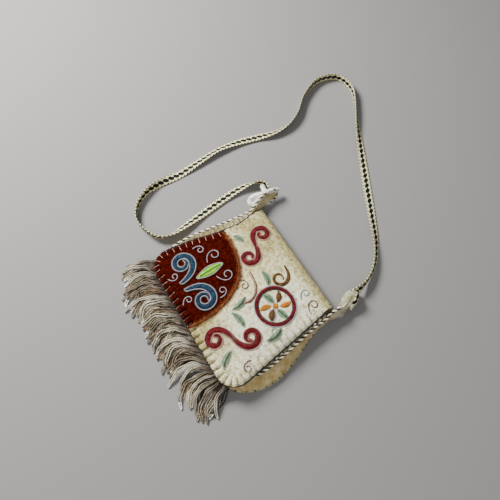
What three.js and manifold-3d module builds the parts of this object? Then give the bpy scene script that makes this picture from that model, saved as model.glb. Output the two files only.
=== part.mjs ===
// Felted wool crossbody bag lying on its back with the flap up.
// Millimetres: +X to the bag's right, +Y from the fringe to the fold, +Z up from the resting face.
// The origin is on the resting face of the back panel.
import * as THREE from 'three';
import { mergeVertices } from 'three/addons/utils/BufferGeometryUtils.js';
import Module from 'manifold-3d';

const wasm = await Module();
wasm.setup();

const { lerp, smoothstep, degToRad } = THREE.MathUtils;

// Felt, clearances
const feltThickness = 4.4;
const gussetThickness = 3.6;
const joinGap = 0.3;

// Flap, folded over from the back panel
const mouthY = 96;
const foldRun = 4;
const flapTopWidth = 216;
const flapBottomWidth = 277;
const flapBottomY = -110;
const flapCornerRadius = 35;
const flapDrawIn = 9.5;
const flapDrawRun = 45;
const flapRelease = 6;
const flapReleaseStart = 75;
const flapReleaseEnd = 135;
const flapLay = 1.8;
const bodyCrown = 12;
const crownTail = 0.9;
const crownFullness = 2.5;

// Back panel
const backShoulder = 14;
const backWidth = 300;
const backWidestY = -37;
const backBottomY = -112;
const backCornerAcross = 55;
const bodySlump = 8;

// Front panel and its seam
const frontShoulder = 8.5;
const frontWidth = 264;
const frontWidestY = -45;
const frontBottomY = -105;
const frontCornerAcross = 50;
const seamHeight = 22;
const seamInset = 3;

// Gusset strip and the two ears that it ends in
const gussetBulge = 2;
const earLength = 62;
const earTipWidth = 14;
const earTipHeight = 14;
const earFrontLift = 4;
const earLeft = { side: -1, lean: 10, tipTilt: 22, frontBelly: 26, backBelly: 2, corded: 1 };
const earRight = { side: 1, lean: -11, tipTilt: -57, frontBelly: 12, backBelly: 13, corded: 0.5 };

// Twisted seam cord
const cordDiameter = 4;
const rimLean = 0.5;
const cordEarRise = 2.5;

// Woven strap: each point is [x, y, lift above the table, tilt from flat in degrees]
const strapWidth = 16;
const strapThickness = 1.6;
const strapSteps = 64;
const strapRoute = [
  [-143.6, 149.6, 5, 90], [-156, 153, 3, 88], [-167, 146, 1, 84], [-174, 131, 0, 52],
  [-178, 109, 0, 22], [-177, 73, 0, 6], [-171, 22, 0, 8], [-166, -15, 0, 30],
  [-163, -45, 0, 52], [-166, -64, 0, 80], [-178, -78, 0, 90], [-218, -89, 0, 90],
  [-238, -82, 0, 90], [-254, -67, 0, 84], [-265, -46, 0, 78], [-269, -18, 0, 45],
  [-268, 27, 0, 0], [-271, 70, 0, -20], [-274, 118, 0, -34], [-269, 160, 0, -14],
  [-259, 198, 0, -5], [-248, 234, 0, -36], [-248, 264, 0, -56], [-258, 294, 0, -85],
  [-288, 333, 0, -92], [-305, 374, 0, -98], [-303, 399, 0, -98], [-292, 419, 0, -98],
  [-271, 428, 0, -98], [-246, 426, 0, -96], [-216, 410, 0, -88], [-168, 381, 0, -52],
  [-126, 357, 0, -20], [-74, 328, 0, -2], [0, 286, 0, -12], [58, 251, 0, -50],
  [88, 221, 0, -68], [101, 195, 2, -78], [106, 173, 7, -55], [107.4, 159.4, 8.4, -33],
];

// Yarn fringe
const headingDepth = 3;
const headingHeight = 5;
const fringeLeftTurn = 0.45;
const fringeRightTurn = 0.62;
const fringeLoops = 24;
const fringeReach = 66;
const fringeUneven = 9;
const fringeSway = 6;
const fringeBow = 7;
const yarnDiameter = 3;
const loopSpread = 5;
const dropStart = 2;
const dropRun = 36;
const yarnRestGap = 0.7;

// Blanket stitch round the flap's free edges
const stitchThread = 1.4;
const stitchLeg = 10;
const legThinning = 0.1;
const stitchPitch = 14;
const stitchTopMargin = 8;

// Coloured felt on the flap
const fieldThickness = 0.8;
const fieldMargin = 2.4;
const fieldReachAcross = 145;
const fieldReachUp = 138;
const fieldSquareness = 2.4;
const motifThickness = 1;
const roundelX = 58;
const roundelY = 30;
const roundelRadius = 32;
const roundelRim = 5;
const roundelRays = 6;
const rayWidth = 10;
const rayTurn = 42;
const rayClearance = 0.9;
const hubRadius = 5.5;
const hornX = -53;
const hornY = -84;
const hornSpread = 7;
const hornLength = 140;
const hornWidth = 9;
const budRise = 28;
const budLength = 52;
const budWidth = 15;
const scrollWidth = 6.8;
const scrollSplit = 1;
const scrollStem = 0.3;
const scrollFullest = 0.8;
const leafWidth = 9;
const leafTip = 0.8;

// Yarn tie at the left ear: its place up and across the ear, then its bows,
// each point [outwards, back along the ear, up] from the knot
const tieUpEar = 0.82;
const tieAcrossEar = 0.35;
const knotLength = 26;
const knotWidth = 9;
const knotDepth = 8;
const tieYarn = 2.6;
const bowLoop = [[0, 3, 1], [6, 14, 6], [8, 28, 5], [3, 38, 3], [1, 30, 4], [1, 14, 3], [0, 4, 0]];
const bowEnd = [[1, -3, 1], [6, -1, 7], [10, 5, 8], [11, 12, 4]];

// Heights that follow from the stack of felt
const flapLevel = seamHeight + feltThickness + flapLay;
const foldRadius = (flapLevel - feltThickness / 2) / 2;
const foldY = mouthY + foldRun;
const gussetTopZ = seamHeight - feltThickness / 2 - joinGap - gussetThickness / 2;
const gussetFootZ = feltThickness + joinGap + gussetThickness / 2;
const cordRadius = cordDiameter / 2;
const cordOut = cordRadius + joinGap + rimLean;
const cordZ = seamHeight - feltThickness / 2 + cordRadius;
const fieldTop = joinGap + fieldThickness;
const onField = fieldTop + joinGap;

const backPanel = {
  topY: mouthY,
  topWidth: flapTopWidth + 2 * backShoulder,
  width: backWidth,
  widestY: backWidestY,
  bottomY: backBottomY,
  cornerAcross: backCornerAcross,
  slump: bodySlump,
};
const frontPanel = {
  topY: mouthY,
  topWidth: flapTopWidth + 2 * frontShoulder,
  width: frontWidth,
  widestY: frontWidestY,
  bottomY: frontBottomY,
  cornerAcross: frontCornerAcross,
  slump: 0,
};

const colours = {
  cream: 0xe1d7b9,
  beige: 0xcdb085,
  terracotta: 0x7a2c18,
  blue: 0x35607a,
  lime: 0x8cc63f,
  crimson: 0x86171f,
  sage: 0x7fa382,
  ochre: 0xc98a2e,
  brown: 0x7a5630,
  grey: 0x9b9388,
  charcoal: 0x3a3835,
  thread: 0xe8dcc0,
  white: 0xefece2,
};

const steps = (count) => Array.from({ length: count + 1 }, (_, i) => i / count);

// A closed sheet of even thickness around a grid of mid-surface points
function sheetSolid(rows, thickness) {
  const lastRow = rows.length - 1;
  const lastCol = rows[0].length - 1;
  const at = (j, i) => rows[Math.min(Math.max(j, 0), lastRow)][Math.min(Math.max(i, 0), lastCol)];
  const positions = [];
  for (const face of [1, -1]) {
    for (let j = 0; j <= lastRow; j++) {
      for (let i = 0; i <= lastCol; i++) {
        const along = at(j + 1, i).clone().sub(at(j - 1, i));
        const across = at(j, i + 1).clone().sub(at(j, i - 1));
        const normal = across.cross(along).normalize();
        const point = at(j, i).clone().addScaledVector(normal, face * thickness / 2);
        positions.push(point.x, point.y, point.z);
      }
    }
  }
  const faceSize = (lastRow + 1) * (lastCol + 1);
  const upper = (j, i) => j * (lastCol + 1) + i;
  const lower = (j, i) => faceSize + upper(j, i);
  const triangles = [];
  const quad = (a, b, c, d) => triangles.push(a, b, c, a, c, d);
  for (let j = 0; j < lastRow; j++) {
    for (let i = 0; i < lastCol; i++) {
      quad(upper(j, i), upper(j, i + 1), upper(j + 1, i + 1), upper(j + 1, i));
      quad(lower(j + 1, i), lower(j + 1, i + 1), lower(j, i + 1), lower(j, i));
    }
    quad(upper(j, 0), upper(j + 1, 0), lower(j + 1, 0), lower(j, 0));
    quad(upper(j + 1, lastCol), upper(j, lastCol), lower(j, lastCol), lower(j + 1, lastCol));
  }
  for (let i = 0; i < lastCol; i++) {
    quad(upper(0, i + 1), upper(0, i), lower(0, i), lower(0, i + 1));
    quad(upper(lastRow, i), upper(lastRow, i + 1), lower(lastRow, i + 1), lower(lastRow, i));
  }
  return indexed(positions, triangles);
}

// A closed solid through a row of like rings, open-ended rows capped, ring rows joined round
function loftSolid(rings, joined = false) {
  const sides = rings[0].length;
  const positions = rings.flat().flatMap((point) => point.toArray());
  const triangles = [];
  const spans = joined ? rings.length : rings.length - 1;
  for (let k = 0; k < spans; k++) {
    const near = k * sides;
    const far = ((k + 1) % rings.length) * sides;
    for (let i = 0; i < sides; i++) {
      const next = (i + 1) % sides;
      triangles.push(near + i, near + next, far + next, near + i, far + next, far + i);
    }
  }
  if (!joined) {
    const end = (rings.length - 1) * sides;
    for (let i = 1; i < sides - 1; i++) {
      triangles.push(0, i + 1, i, end, end + i, end + i + 1);
    }
  }
  return indexed(positions, triangles);
}

function indexed(positions, triangles) {
  const geometry = new THREE.BufferGeometry();
  geometry.setAttribute('position', new THREE.Float32BufferAttribute(positions, 3));
  geometry.setIndex(triangles);
  return geometry;
}

// A round tube along a curve, closed at both ends
function tube(curve, radius, sides, segments) {
  const section = new THREE.Shape();
  for (let i = 0; i < sides; i++) {
    const angle = 2 * Math.PI * i / sides;
    const corner = [radius * Math.cos(angle), radius * Math.sin(angle)];
    if (i === 0) section.moveTo(...corner);
    else section.lineTo(...corner);
  }
  section.closePath();
  return new THREE.ExtrudeGeometry(section, { steps: segments, extrudePath: curve, bevelEnabled: false });
}

function toSolid(geometry) {
  const bare = geometry.clone();
  bare.deleteAttribute('normal');
  bare.deleteAttribute('uv');
  const merged = mergeVertices(bare, 1e-4);
  return new wasm.Manifold(new wasm.Mesh({
    numProp: 3,
    vertProperties: merged.getAttribute('position').array,
    triVerts: new Uint32Array(merged.getIndex().array),
  }));
}

// Joins closed pieces that meet into one body
function fuse(geometries) {
  const joined = geometries.map(toSolid).reduce((body, piece) => body.add(piece));
  const mesh = joined.getMesh();
  return indexed(Array.from(mesh.vertProperties), Array.from(mesh.triVerts));
}

const bag = new THREE.Group();
bag.name = 'felt_crossbody_bag';

function add(name, geometry, colour, roughness = 0.95) {
  const material = new THREE.MeshStandardMaterial({ color: colour, roughness, metalness: 0 });
  const mesh = new THREE.Mesh(geometry, material);
  mesh.name = name;
  bag.add(mesh);
}

// Outline of a body panel: s runs 0 to 1 down its side and 1 to 2 round its lower corner
function panelRow(panel, s) {
  const down = Math.min(s, 1);
  const swell = smoothstep(down, 0, 1);
  const turn = Math.max(s - 1, 0) * Math.PI / 2;
  const cornerDepth = panel.widestY - panel.bottomY;
  return {
    y: lerp(panel.topY, panel.widestY, down) - cornerDepth * Math.sin(turn),
    halfWidth: lerp(panel.topWidth, panel.width, swell) / 2 - panel.cornerAcross * (1 - Math.cos(turn)),
    shift: panel.slump * swell,
  };
}

// The same outline moved in by an even margin, or out by a negative one
function insetPanel(panel, margin) {
  return {
    ...panel,
    topWidth: panel.topWidth - 2 * margin,
    width: panel.width - 2 * margin,
    bottomY: panel.bottomY + margin,
    cornerAcross: panel.cornerAcross - margin,
  };
}

const sideSteps = 7;
const cornerSteps = 5;
const bottomSteps = 4;
const panelSteps = [
  ...steps(sideSteps),
  ...steps(cornerSteps).slice(1).map((s) => 1 + s),
];

// U-shaped line on a panel's outline, from the left of the mouth round to the right
function outlineLine(panel, z) {
  const rows = panelSteps.map((s) => panelRow(panel, s));
  const left = rows.map((row) => new THREE.Vector3(row.shift - row.halfWidth, row.y, z));
  const right = rows.map((row) => new THREE.Vector3(row.shift + row.halfWidth, row.y, z)).reverse();
  const bottom = steps(bottomSteps).slice(1, -1)
    .map((s) => left[left.length - 1].clone().lerp(right[0], s));
  return [...left, ...bottom, ...right];
}

// Flap outline and the crowned surface that it takes over the filled body
function flapStraightHalf(y) {
  const drop = (foldY - y) / (foldY - flapBottomY);
  return lerp(flapTopWidth, flapBottomWidth, drop) / 2;
}

function flapHalfWidth(y) {
  const above = Math.min(y - flapBottomY, flapCornerRadius);
  const reach = flapCornerRadius - above;
  return flapStraightHalf(y) - flapCornerRadius + Math.sqrt(flapCornerRadius ** 2 - reach ** 2);
}

// The left edge is drawn in below the fold, where it shows more of the front panel, and less further down
function flapDraw(y) {
  const down = foldY - y;
  return flapDrawIn * smoothstep(down, 0, flapDrawRun)
    - flapRelease * smoothstep(down, flapReleaseStart, flapReleaseEnd);
}

const flapLeftX = (y) => flapDraw(y) - flapHalfWidth(y);

function flapMiddle(x, y) {
  const drop = Math.max((foldY - y) / (foldY - flapBottomY), 0);
  const across = Math.min(Math.abs(x) / flapHalfWidth(y), 1);
  return flapLevel + bodyCrown * Math.sin(Math.PI * crownTail * drop) * (1 - across ** crownFullness);
}

const onFlap = (x, y, lift) => new THREE.Vector3(x, y, flapMiddle(x, y) + feltThickness / 2 + lift);

// Back panel and flap, cut as one sheet and folded at the top
const sheetColumns = 12;
const foldSteps = 8;
const flapSteps = 11;

function backPanelAndFlap() {
  const acrossSteps = steps(sheetColumns).map((s) => 2 * s - 1);
  const flatZ = feltThickness / 2;
  const backRows = panelSteps.map((s) => panelRow(backPanel, s)).reverse()
    .map((row) => acrossSteps.map((t) => new THREE.Vector3(row.shift + row.halfWidth * t, row.y, flatZ)));
  const foldRows = steps(foldSteps).map((s) => {
    const angle = Math.PI * (s - 0.5);
    const y = foldY + foldRadius * Math.cos(angle);
    const z = flatZ + foldRadius + foldRadius * Math.sin(angle);
    return acrossSteps.map((t) => new THREE.Vector3(flapTopWidth / 2 * t, y, z));
  });
  const cornerTop = flapBottomY + flapCornerRadius;
  const flapYs = [
    ...steps(flapSteps).slice(1).map((s) => lerp(foldY, cornerTop, s)),
    ...steps(cornerSteps).slice(1).map((s) => cornerTop - flapCornerRadius * Math.sin(s * Math.PI / 2)),
  ];
  const flapRows = flapYs.map((y) => acrossSteps.map((t) => {
    const x = lerp(flapLeftX(y), flapHalfWidth(y), (t + 1) / 2);
    return new THREE.Vector3(x, y, flapMiddle(x, y));
  }));
  return sheetSolid([...backRows, ...foldRows, ...flapRows], feltThickness);
}

add('back_panel_flap', backPanelAndFlap(), colours.cream);

// Front panel, bulged between its side and bottom seams and open at the mouth
const frontColumns = 8;

function frontPanelSheet() {
  const acrossSteps = steps(frontColumns).map((s) => 1 - 2 * s);
  const rows = panelSteps.map((s) => panelRow(frontPanel, s)).map((row) => {
    const drop = (mouthY - row.y) / (mouthY - frontBottomY);
    const rise = bodyCrown * Math.sin(Math.PI * drop);
    const place = (t) => new THREE.Vector3(row.halfWidth * t, row.y, seamHeight + rise * (1 - t * t));
    return acrossSteps.map(place);
  });
  return sheetSolid(rows, feltThickness);
}

add('front_panel', frontPanelSheet(), colours.cream);

// Ear: the two edges of the gusset strip drawn together into a tongue above the mouth
const gussetFront = outlineLine(insetPanel(frontPanel, seamInset), gussetTopZ);
const gussetBack = outlineLine(insetPanel(backPanel, seamInset), gussetFootZ);
const earSteps = 5;

function earEdges(ear) {
  const atMouth = ear.side < 0 ? 0 : gussetFront.length - 1;
  const mouthFront = gussetFront[atMouth];
  const mouthBack = gussetBack[atMouth];
  const tilt = degToRad(ear.tipTilt);
  const tip = new THREE.Vector3(mouthBack.x + ear.side * ear.lean, mouthY + earLength, earTipHeight);
  const tipWay = new THREE.Vector3(ear.side * Math.sin(tilt), 0, Math.cos(tilt));
  const halfTip = tipWay.multiplyScalar(earTipWidth / 2);
  const bellyY = mouthY + earLength / 2;
  const frontBelly = new THREE.Vector3(
    mouthFront.x + ear.side * ear.frontBelly, bellyY, gussetTopZ + earFrontLift);
  const backBelly = new THREE.Vector3(mouthBack.x + ear.side * ear.backBelly, bellyY, gussetFootZ);
  return {
    front: new THREE.QuadraticBezierCurve3(mouthFront, frontBelly, tip.clone().add(halfTip)),
    back: new THREE.QuadraticBezierCurve3(mouthBack, backBelly, tip.clone().sub(halfTip)),
  };
}

const leftEdges = earEdges(earLeft);
const rightEdges = earEdges(earRight);
const earStations = steps(earSteps).slice(1);

function gussetEdge(line, edge) {
  const left = earStations.map((s) => leftEdges[edge].getPoint(s)).reverse();
  const right = earStations.map((s) => rightEdges[edge].getPoint(s));
  return [...left, ...line, ...right];
}

// Gusset strip with both ears, bulged outwards between its two seams
const gussetColumns = 4;

function gussetStrip() {
  const front = gussetEdge(gussetFront, 'front');
  const back = gussetEdge(gussetBack, 'back');
  const rows = front.map((top, k) => {
    const foot = back[k];
    const along = front[Math.min(k + 1, front.length - 1)].clone().sub(front[Math.max(k - 1, 0)]);
    const outward = foot.clone().sub(top).cross(along).normalize();
    return steps(gussetColumns).map((s) => top.clone().lerp(foot, s)
      .addScaledVector(outward, gussetBulge * Math.sin(Math.PI * s)));
  });
  return sheetSolid(rows, gussetThickness);
}

add('gusset', gussetStrip(), colours.beige);

// Twisted cord along the front seam, carried on up the front edge of each ear
const cordSides = 6;
const cordSteps = 62;
const earCordStations = steps(8).slice(2);

function cordOnEar(edges, corded) {
  return earCordStations.map((station) => {
    const s = station * corded;
    const front = edges.front.getPoint(s);
    const edgeward = front.clone().sub(edges.back.getPoint(s)).normalize();
    front.z += cordEarRise * (1 - s);
    return front.addScaledVector(edgeward, cordOut);
  });
}

function seamCord() {
  const seam = outlineLine(insetPanel(frontPanel, -cordOut), cordZ);
  const onLeft = cordOnEar(leftEdges, earLeft.corded).reverse();
  const route = [...onLeft, ...seam, ...cordOnEar(rightEdges, earRight.corded)];
  return tube(new THREE.CatmullRomCurve3(route, false, 'centripetal'), cordRadius, cordSides, cordSteps);
}

add('seam_cord', seamCord(), colours.charcoal, 0.8);

// Woven strap, a flat band that lies flat on straight runs and stands on edge in its bends
function strapBand() {
  const half = strapWidth / 2;
  const thin = strapThickness / 2;
  const corner = strapThickness / 4;
  const section = [
    [half, -thin + corner], [half, thin - corner], [half - corner, thin], [corner - half, thin],
    [-half, thin - corner], [-half, corner - thin], [corner - half, -thin], [half - corner, -thin],
  ];
  const tilts = strapRoute.map((point) => degToRad(point[3]));
  const plan = strapRoute.map(([x, y, lift]) => new THREE.Vector3(x, y, lift));
  const curve = new THREE.CatmullRomCurve3(plan, false, 'centripetal');
  const rings = steps(strapSteps).map((s) => {
    const along = curve.getUtoTmapping(s) * (strapRoute.length - 1);
    const from = Math.min(Math.floor(along), strapRoute.length - 2);
    const tilt = lerp(tilts[from], tilts[from + 1], along - from);
    const heading = curve.getTangentAt(s).setZ(0).normalize();
    const level = new THREE.Vector3(-heading.y, heading.x, 0);
    const up = new THREE.Vector3(0, 0, 1);
    const wide = level.clone().multiplyScalar(Math.cos(tilt)).addScaledVector(up, Math.sin(tilt));
    const deep = up.clone().multiplyScalar(Math.cos(tilt)).addScaledVector(level, -Math.sin(tilt));
    const rest = half * Math.abs(Math.sin(tilt)) + thin * Math.abs(Math.cos(tilt)) + joinGap;
    const centre = curve.getPointAt(s);
    centre.z = Math.max(centre.z, 0) + rest;
    return section.map(([w, d]) => centre.clone().addScaledVector(wide, w).addScaledVector(deep, d));
  });
  return loftSolid(rings);
}

add('strap', strapBand(), colours.thread, 0.9);

// Yarn knot and bow that tie the strap to the outside of the left ear
const tieSides = 5;
const tieSteps = 10;

function yarnTie() {
  const front = leftEdges.front.getPoint(tieUpEar);
  const back = leftEdges.back.getPoint(tieUpEar);
  const along = leftEdges.front.getTangent(tieUpEar);
  const outward = along.clone().cross(back.clone().sub(front)).normalize();
  const standOff = gussetThickness / 2 + gussetBulge + joinGap + knotDepth / 2;
  const centre = front.clone().lerp(back, tieAcrossEar).addScaledVector(outward, standOff);
  const knot = new THREE.SphereGeometry(0.5, 8, 6);
  knot.scale(knotDepth, knotLength, knotWidth);
  const sideways = outward.clone().cross(along).normalize();
  knot.applyMatrix4(new THREE.Matrix4().makeBasis(outward, along, sideways).setPosition(centre));
  const bows = [bowLoop, bowEnd].map((points) => points.map(([out, behind, up]) => centre.clone()
    .addScaledVector(outward, out).addScaledVector(along, -behind).add(new THREE.Vector3(0, 0, up))));
  const curves = bows.map((points) => new THREE.CatmullRomCurve3(points));
  const yarns = curves.map((curve) => tube(curve, tieYarn / 2, tieSides, tieSteps));
  return fuse([knot, ...yarns]);
}

add('yarn_tie', yarnTie(), colours.white);

// A yarn with a ring at every point
function yarnThrough(points, radius) {
  const last = points.length - 1;
  const up = new THREE.Vector3(0, 0, 1);
  const rings = points.map((point, k) => {
    const along = points[Math.min(k + 1, last)].clone().sub(points[Math.max(k - 1, 0)]);
    const aside = along.clone().cross(up).setLength(radius);
    const below = along.clone().cross(aside).setLength(radius);
    return [
      point.clone().add(aside), point.clone().add(below),
      point.clone().sub(aside), point.clone().sub(below),
    ];
  });
  return loftSolid(rings);
}

// Yarn fringe: hairpin loops hung from a heading tape below the front seam
const tapeSteps = 24;
const legStations = [0, 0.2, 0.45, 1];

function fringe() {
  const headingOut = cordOut + cordRadius + joinGap + headingDepth / 2;
  const panel = insetPanel(frontPanel, -headingOut);
  const corner = (startTurn, side) => steps(cornerSteps)
    .map((s) => panelRow(panel, 1 + lerp(startTurn, 1, s)))
    .map((row) => new THREE.Vector3(side * row.halfWidth, row.y, cordZ));
  const left = corner(fringeLeftTurn, -1);
  const right = corner(fringeRightTurn, 1).reverse();
  const heading = new THREE.CatmullRomCurve3([...left, ...right], false, 'centripetal');
  const floorZ = yarnDiameter / 2 + yarnRestGap;
  const tape = steps(tapeSteps).map((s) => {
    const centre = heading.getPointAt(s);
    const tangent = heading.getTangentAt(s);
    const outward = new THREE.Vector3(tangent.y, -tangent.x, 0).multiplyScalar(headingDepth / 2);
    const up = new THREE.Vector3(0, 0, headingHeight / 2);
    return [
      centre.clone().sub(outward).sub(up), centre.clone().sub(outward).add(up),
      centre.clone().add(outward).add(up), centre.clone().add(outward).sub(up),
    ];
  });
  const pieces = [loftSolid(tape)];
  for (let i = 0; i < fringeLoops; i++) {
    const s = (i + 0.5) / fringeLoops;
    const root = heading.getPointAt(s);
    const tangent = heading.getTangentAt(s);
    const outward = new THREE.Vector3(tangent.y, -tangent.x, 0).normalize();
    const reach = fringeReach + fringeUneven * Math.sin(i * 2.3);
    const sway = fringeSway * Math.sin(i * 1.7);
    const place = (distance, sideways) => {
      const fall = 1 - smoothstep(distance, dropStart, dropRun);
      const share = distance / reach;
      const drift = sideways + sway * share ** 2 - fringeBow * Math.sin(Math.PI * share);
      return new THREE.Vector3(root.x, root.y, lerp(floorZ, cordZ, fall))
        .addScaledVector(outward, distance).addScaledVector(tangent, drift);
    };
    const distances = legStations.map((s) => s * (reach - loopSpread / 2));
    const out = distances.map((distance) => place(distance, -loopSpread / 2));
    const back = distances.map((distance) => place(distance, loopSpread / 2)).reverse();
    const tip = [-loopSpread / 4, loopSpread / 4].map((sideways) => place(reach, sideways));
    pieces.push(yarnThrough([...out, ...tip, ...back], yarnDiameter / 2));
  }
  return fuse(pieces);
}

add('fringe', fringe(), colours.grey);

// A flat ribbon laid on the flap along plan points, widths given for each point
function ribbonOnFlap(points, widths, lift, thickness, joined = false) {
  const last = points.length - 1;
  const rings = points.map((point, k) => {
    const before = points[joined ? (k + last) % (last + 1) : Math.max(k - 1, 0)];
    const after = points[joined ? (k + 1) % (last + 1) : Math.min(k + 1, last)];
    const heading = after.clone().sub(before).normalize();
    const aside = new THREE.Vector2(-heading.y, heading.x).multiplyScalar(widths[k] / 2);
    const left = point.clone().add(aside);
    const right = point.clone().sub(aside);
    return [
      onFlap(left.x, left.y, lift), onFlap(left.x, left.y, lift + thickness),
      onFlap(right.x, right.y, lift + thickness), onFlap(right.x, right.y, lift),
    ];
  });
  return loftSolid(rings, joined);
}

// Terracotta felt in the flap's lower left corner, its free side an arc from edge to edge
function fieldEdge(angle) {
  const across = (Math.cos(angle) / fieldReachAcross) ** fieldSquareness;
  const up = (Math.sin(angle) / fieldReachUp) ** fieldSquareness;
  return (across + up) ** (-1 / fieldSquareness);
}

function cornerPlace(across, up) {
  const y = flapBottomY + up;
  return new THREE.Vector2(across - flapStraightHalf(y) + flapDraw(y), y);
}

const fieldAngleSteps = 12;
const fieldDepthSteps = 6;

function terracottaField() {
  const radius = flapCornerRadius - fieldMargin;
  const rows = steps(fieldAngleSteps).map((s) => {
    const angle = s * Math.PI / 2;
    const toCentre = radius * (Math.cos(angle) + Math.sin(angle));
    const inner = toCentre - Math.sqrt(Math.max(toCentre ** 2 - radius ** 2, 0));
    return steps(fieldDepthSteps).map((depth) => {
      const distance = lerp(inner, fieldEdge(angle), depth);
      const across = fieldMargin + distance * Math.cos(angle);
      const up = fieldMargin + distance * Math.sin(angle);
      const place = cornerPlace(across, up);
      return onFlap(place.x, place.y, joinGap + fieldThickness / 2);
    });
  });
  return sheetSolid(rows, fieldThickness);
}

add('terracotta_field', terracottaField(), colours.terracotta);

// Whether a stitch at this place would cross the terracotta
function inField(x, y) {
  const across = Math.max(x + flapStraightHalf(y) - flapDraw(y) - fieldMargin, 0);
  const up = Math.max(y - flapBottomY - fieldMargin, 0);
  return Math.hypot(across, up) < fieldEdge(Math.atan2(up, across)) + stitchThread;
}

// Blanket stitch: a thread along the flap's edge with a leg reaching in at every stitch
const edgeSteps = 8;

function flapEdgeLine() {
  const inset = stitchThread / 2;
  const top = foldY - stitchTopMargin;
  const cornerTop = flapBottomY + flapCornerRadius;
  const side = steps(edgeSteps).map((s) => lerp(top, cornerTop, s));
  const corner = steps(cornerSteps).slice(1)
    .map((s) => cornerTop - (flapCornerRadius - inset) * Math.sin(s * Math.PI / 2));
  const edgeYs = [...side, ...corner];
  const left = edgeYs.map((y) => new THREE.Vector2(flapLeftX(y) + inset, y));
  const right = edgeYs.map((y) => new THREE.Vector2(flapHalfWidth(y) - inset, y)).reverse();
  const bottom = steps(edgeSteps).slice(1, -1).map((s) => left[left.length - 1].clone().lerp(right[0], s));
  return [...left, ...bottom, ...right];
}

function blanketStitch() {
  const edge = flapEdgeLine();
  const legThickness = stitchThread - 2 * legThinning;
  const pieces = [ribbonOnFlap(edge, edge.map(() => stitchThread), joinGap, fieldTop + stitchThread)];
  const flatEdge = edge.map((point) => new THREE.Vector3(point.x, point.y, 0));
  const path = new THREE.CatmullRomCurve3(flatEdge, false, 'centripetal');
  const count = Math.floor(path.getLength() / stitchPitch);
  for (let i = 0; i <= count; i++) {
    const place = path.getPointAt(i / count);
    const tangent = path.getTangentAt(i / count);
    const inward = new THREE.Vector2(-tangent.y, tangent.x).normalize();
    const from = new THREE.Vector2(place.x, place.y);
    const leg = [0, stitchLeg].map((run) => from.clone().addScaledVector(inward, run));
    const lift = leg.some((point) => inField(point.x, point.y)) ? onField : joinGap;
    pieces.push(ribbonOnFlap(leg, leg.map(() => stitchThread), lift + legThinning, legThickness));
  }
  return fuse(pieces);
}

add('blanket_stitch', blanketStitch(), colours.thread);

// A scroll that starts straight and winds tighter towards its end
function curlPath({ x, y, heading, length, turn, winding = 1.8, segments = 15 }) {
  const points = [new THREE.Vector2(x, y)];
  for (let k = 0; k < segments; k++) {
    const angle = degToRad(heading + turn * ((k + 0.5) / segments) ** winding);
    const step = new THREE.Vector2(Math.cos(angle), Math.sin(angle)).multiplyScalar(length / segments);
    points.push(points[k].clone().add(step));
  }
  return points;
}

// A scroll swells from a thin stem and narrows again towards its eye
function addCurl(name, colour, curl, width, lift = joinGap) {
  const points = curlPath(curl);
  const widths = steps(points.length - 1)
    .map((s) => width * lerp(scrollStem, 1, Math.sin(Math.PI * s ** scrollFullest)));
  add(name, ribbonOnFlap(points, widths, lift, motifThickness), colour);
}

// A leaf is pointed at both ends
const leafSteps = 7;

function addLeaf(name, colour, curl, width, lift = joinGap) {
  const points = curlPath({ ...curl, winding: 1, segments: leafSteps });
  const widths = steps(leafSteps).map((s) => Math.max(width * Math.sin(Math.PI * s), leafTip));
  add(name, ribbonOnFlap(points, widths, lift, motifThickness), colour);
}

// Horn pair with a bud between, on the terracotta
for (const [name, side] of [['horn_left', -1], ['horn_right', 1]]) {
  addCurl(name, colours.blue, {
    x: hornX + side * hornSpread,
    y: hornY,
    heading: 90 - 8 * side,
    length: hornLength,
    turn: -500 * side,
  }, hornWidth, onField);
}
addLeaf('lime_bud', colours.lime,
  { x: hornX, y: hornY + budRise, heading: 90, length: budLength, turn: 0 }, budWidth, onField);

// Roundel of curved rays in a ring
const ringSteps = 24;
const onRoundel = (radius, bearing) => new THREE.Vector2(
  roundelX + radius * Math.cos(degToRad(bearing)), roundelY + radius * Math.sin(degToRad(bearing)));

function roundel() {
  const ring = steps(ringSteps).slice(1).map((s) => onRoundel(roundelRadius, 360 * s));
  const ringWidths = ring.map(() => roundelRim);
  add('roundel_ring', ribbonOnFlap(ring, ringWidths, joinGap, motifThickness, true), colours.crimson);
  const rayColours = [colours.sage, colours.ochre, colours.brown];
  const rayLength = roundelRadius - roundelRim / 2 - hubRadius - rayClearance;
  for (let i = 0; i < roundelRays; i++) {
    const bearing = 360 * i / roundelRays;
    const { x, y } = onRoundel(hubRadius + joinGap, bearing);
    addLeaf(`roundel_ray_${i + 1}`, rayColours[i % rayColours.length],
      { x, y, heading: bearing, length: rayLength, turn: rayTurn }, rayWidth);
  }
  const across = [onRoundel(hubRadius, 180), onRoundel(0, 0), onRoundel(hubRadius, 0)];
  const hubWidths = [hubRadius, 2 * hubRadius, hubRadius];
  add('roundel_hub', ribbonOnFlap(across, hubWidths, joinGap, motifThickness), colours.ochre);
}

roundel();

// Places and lengths of the next pieces are hundredths of the flap's lower width
const flapShare = flapBottomWidth / 100;
const fromShares = ([x, y, heading, length, turn]) => (
  { x: x * flapShare, y: y * flapShare, heading, length: length * flapShare, turn });

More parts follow.
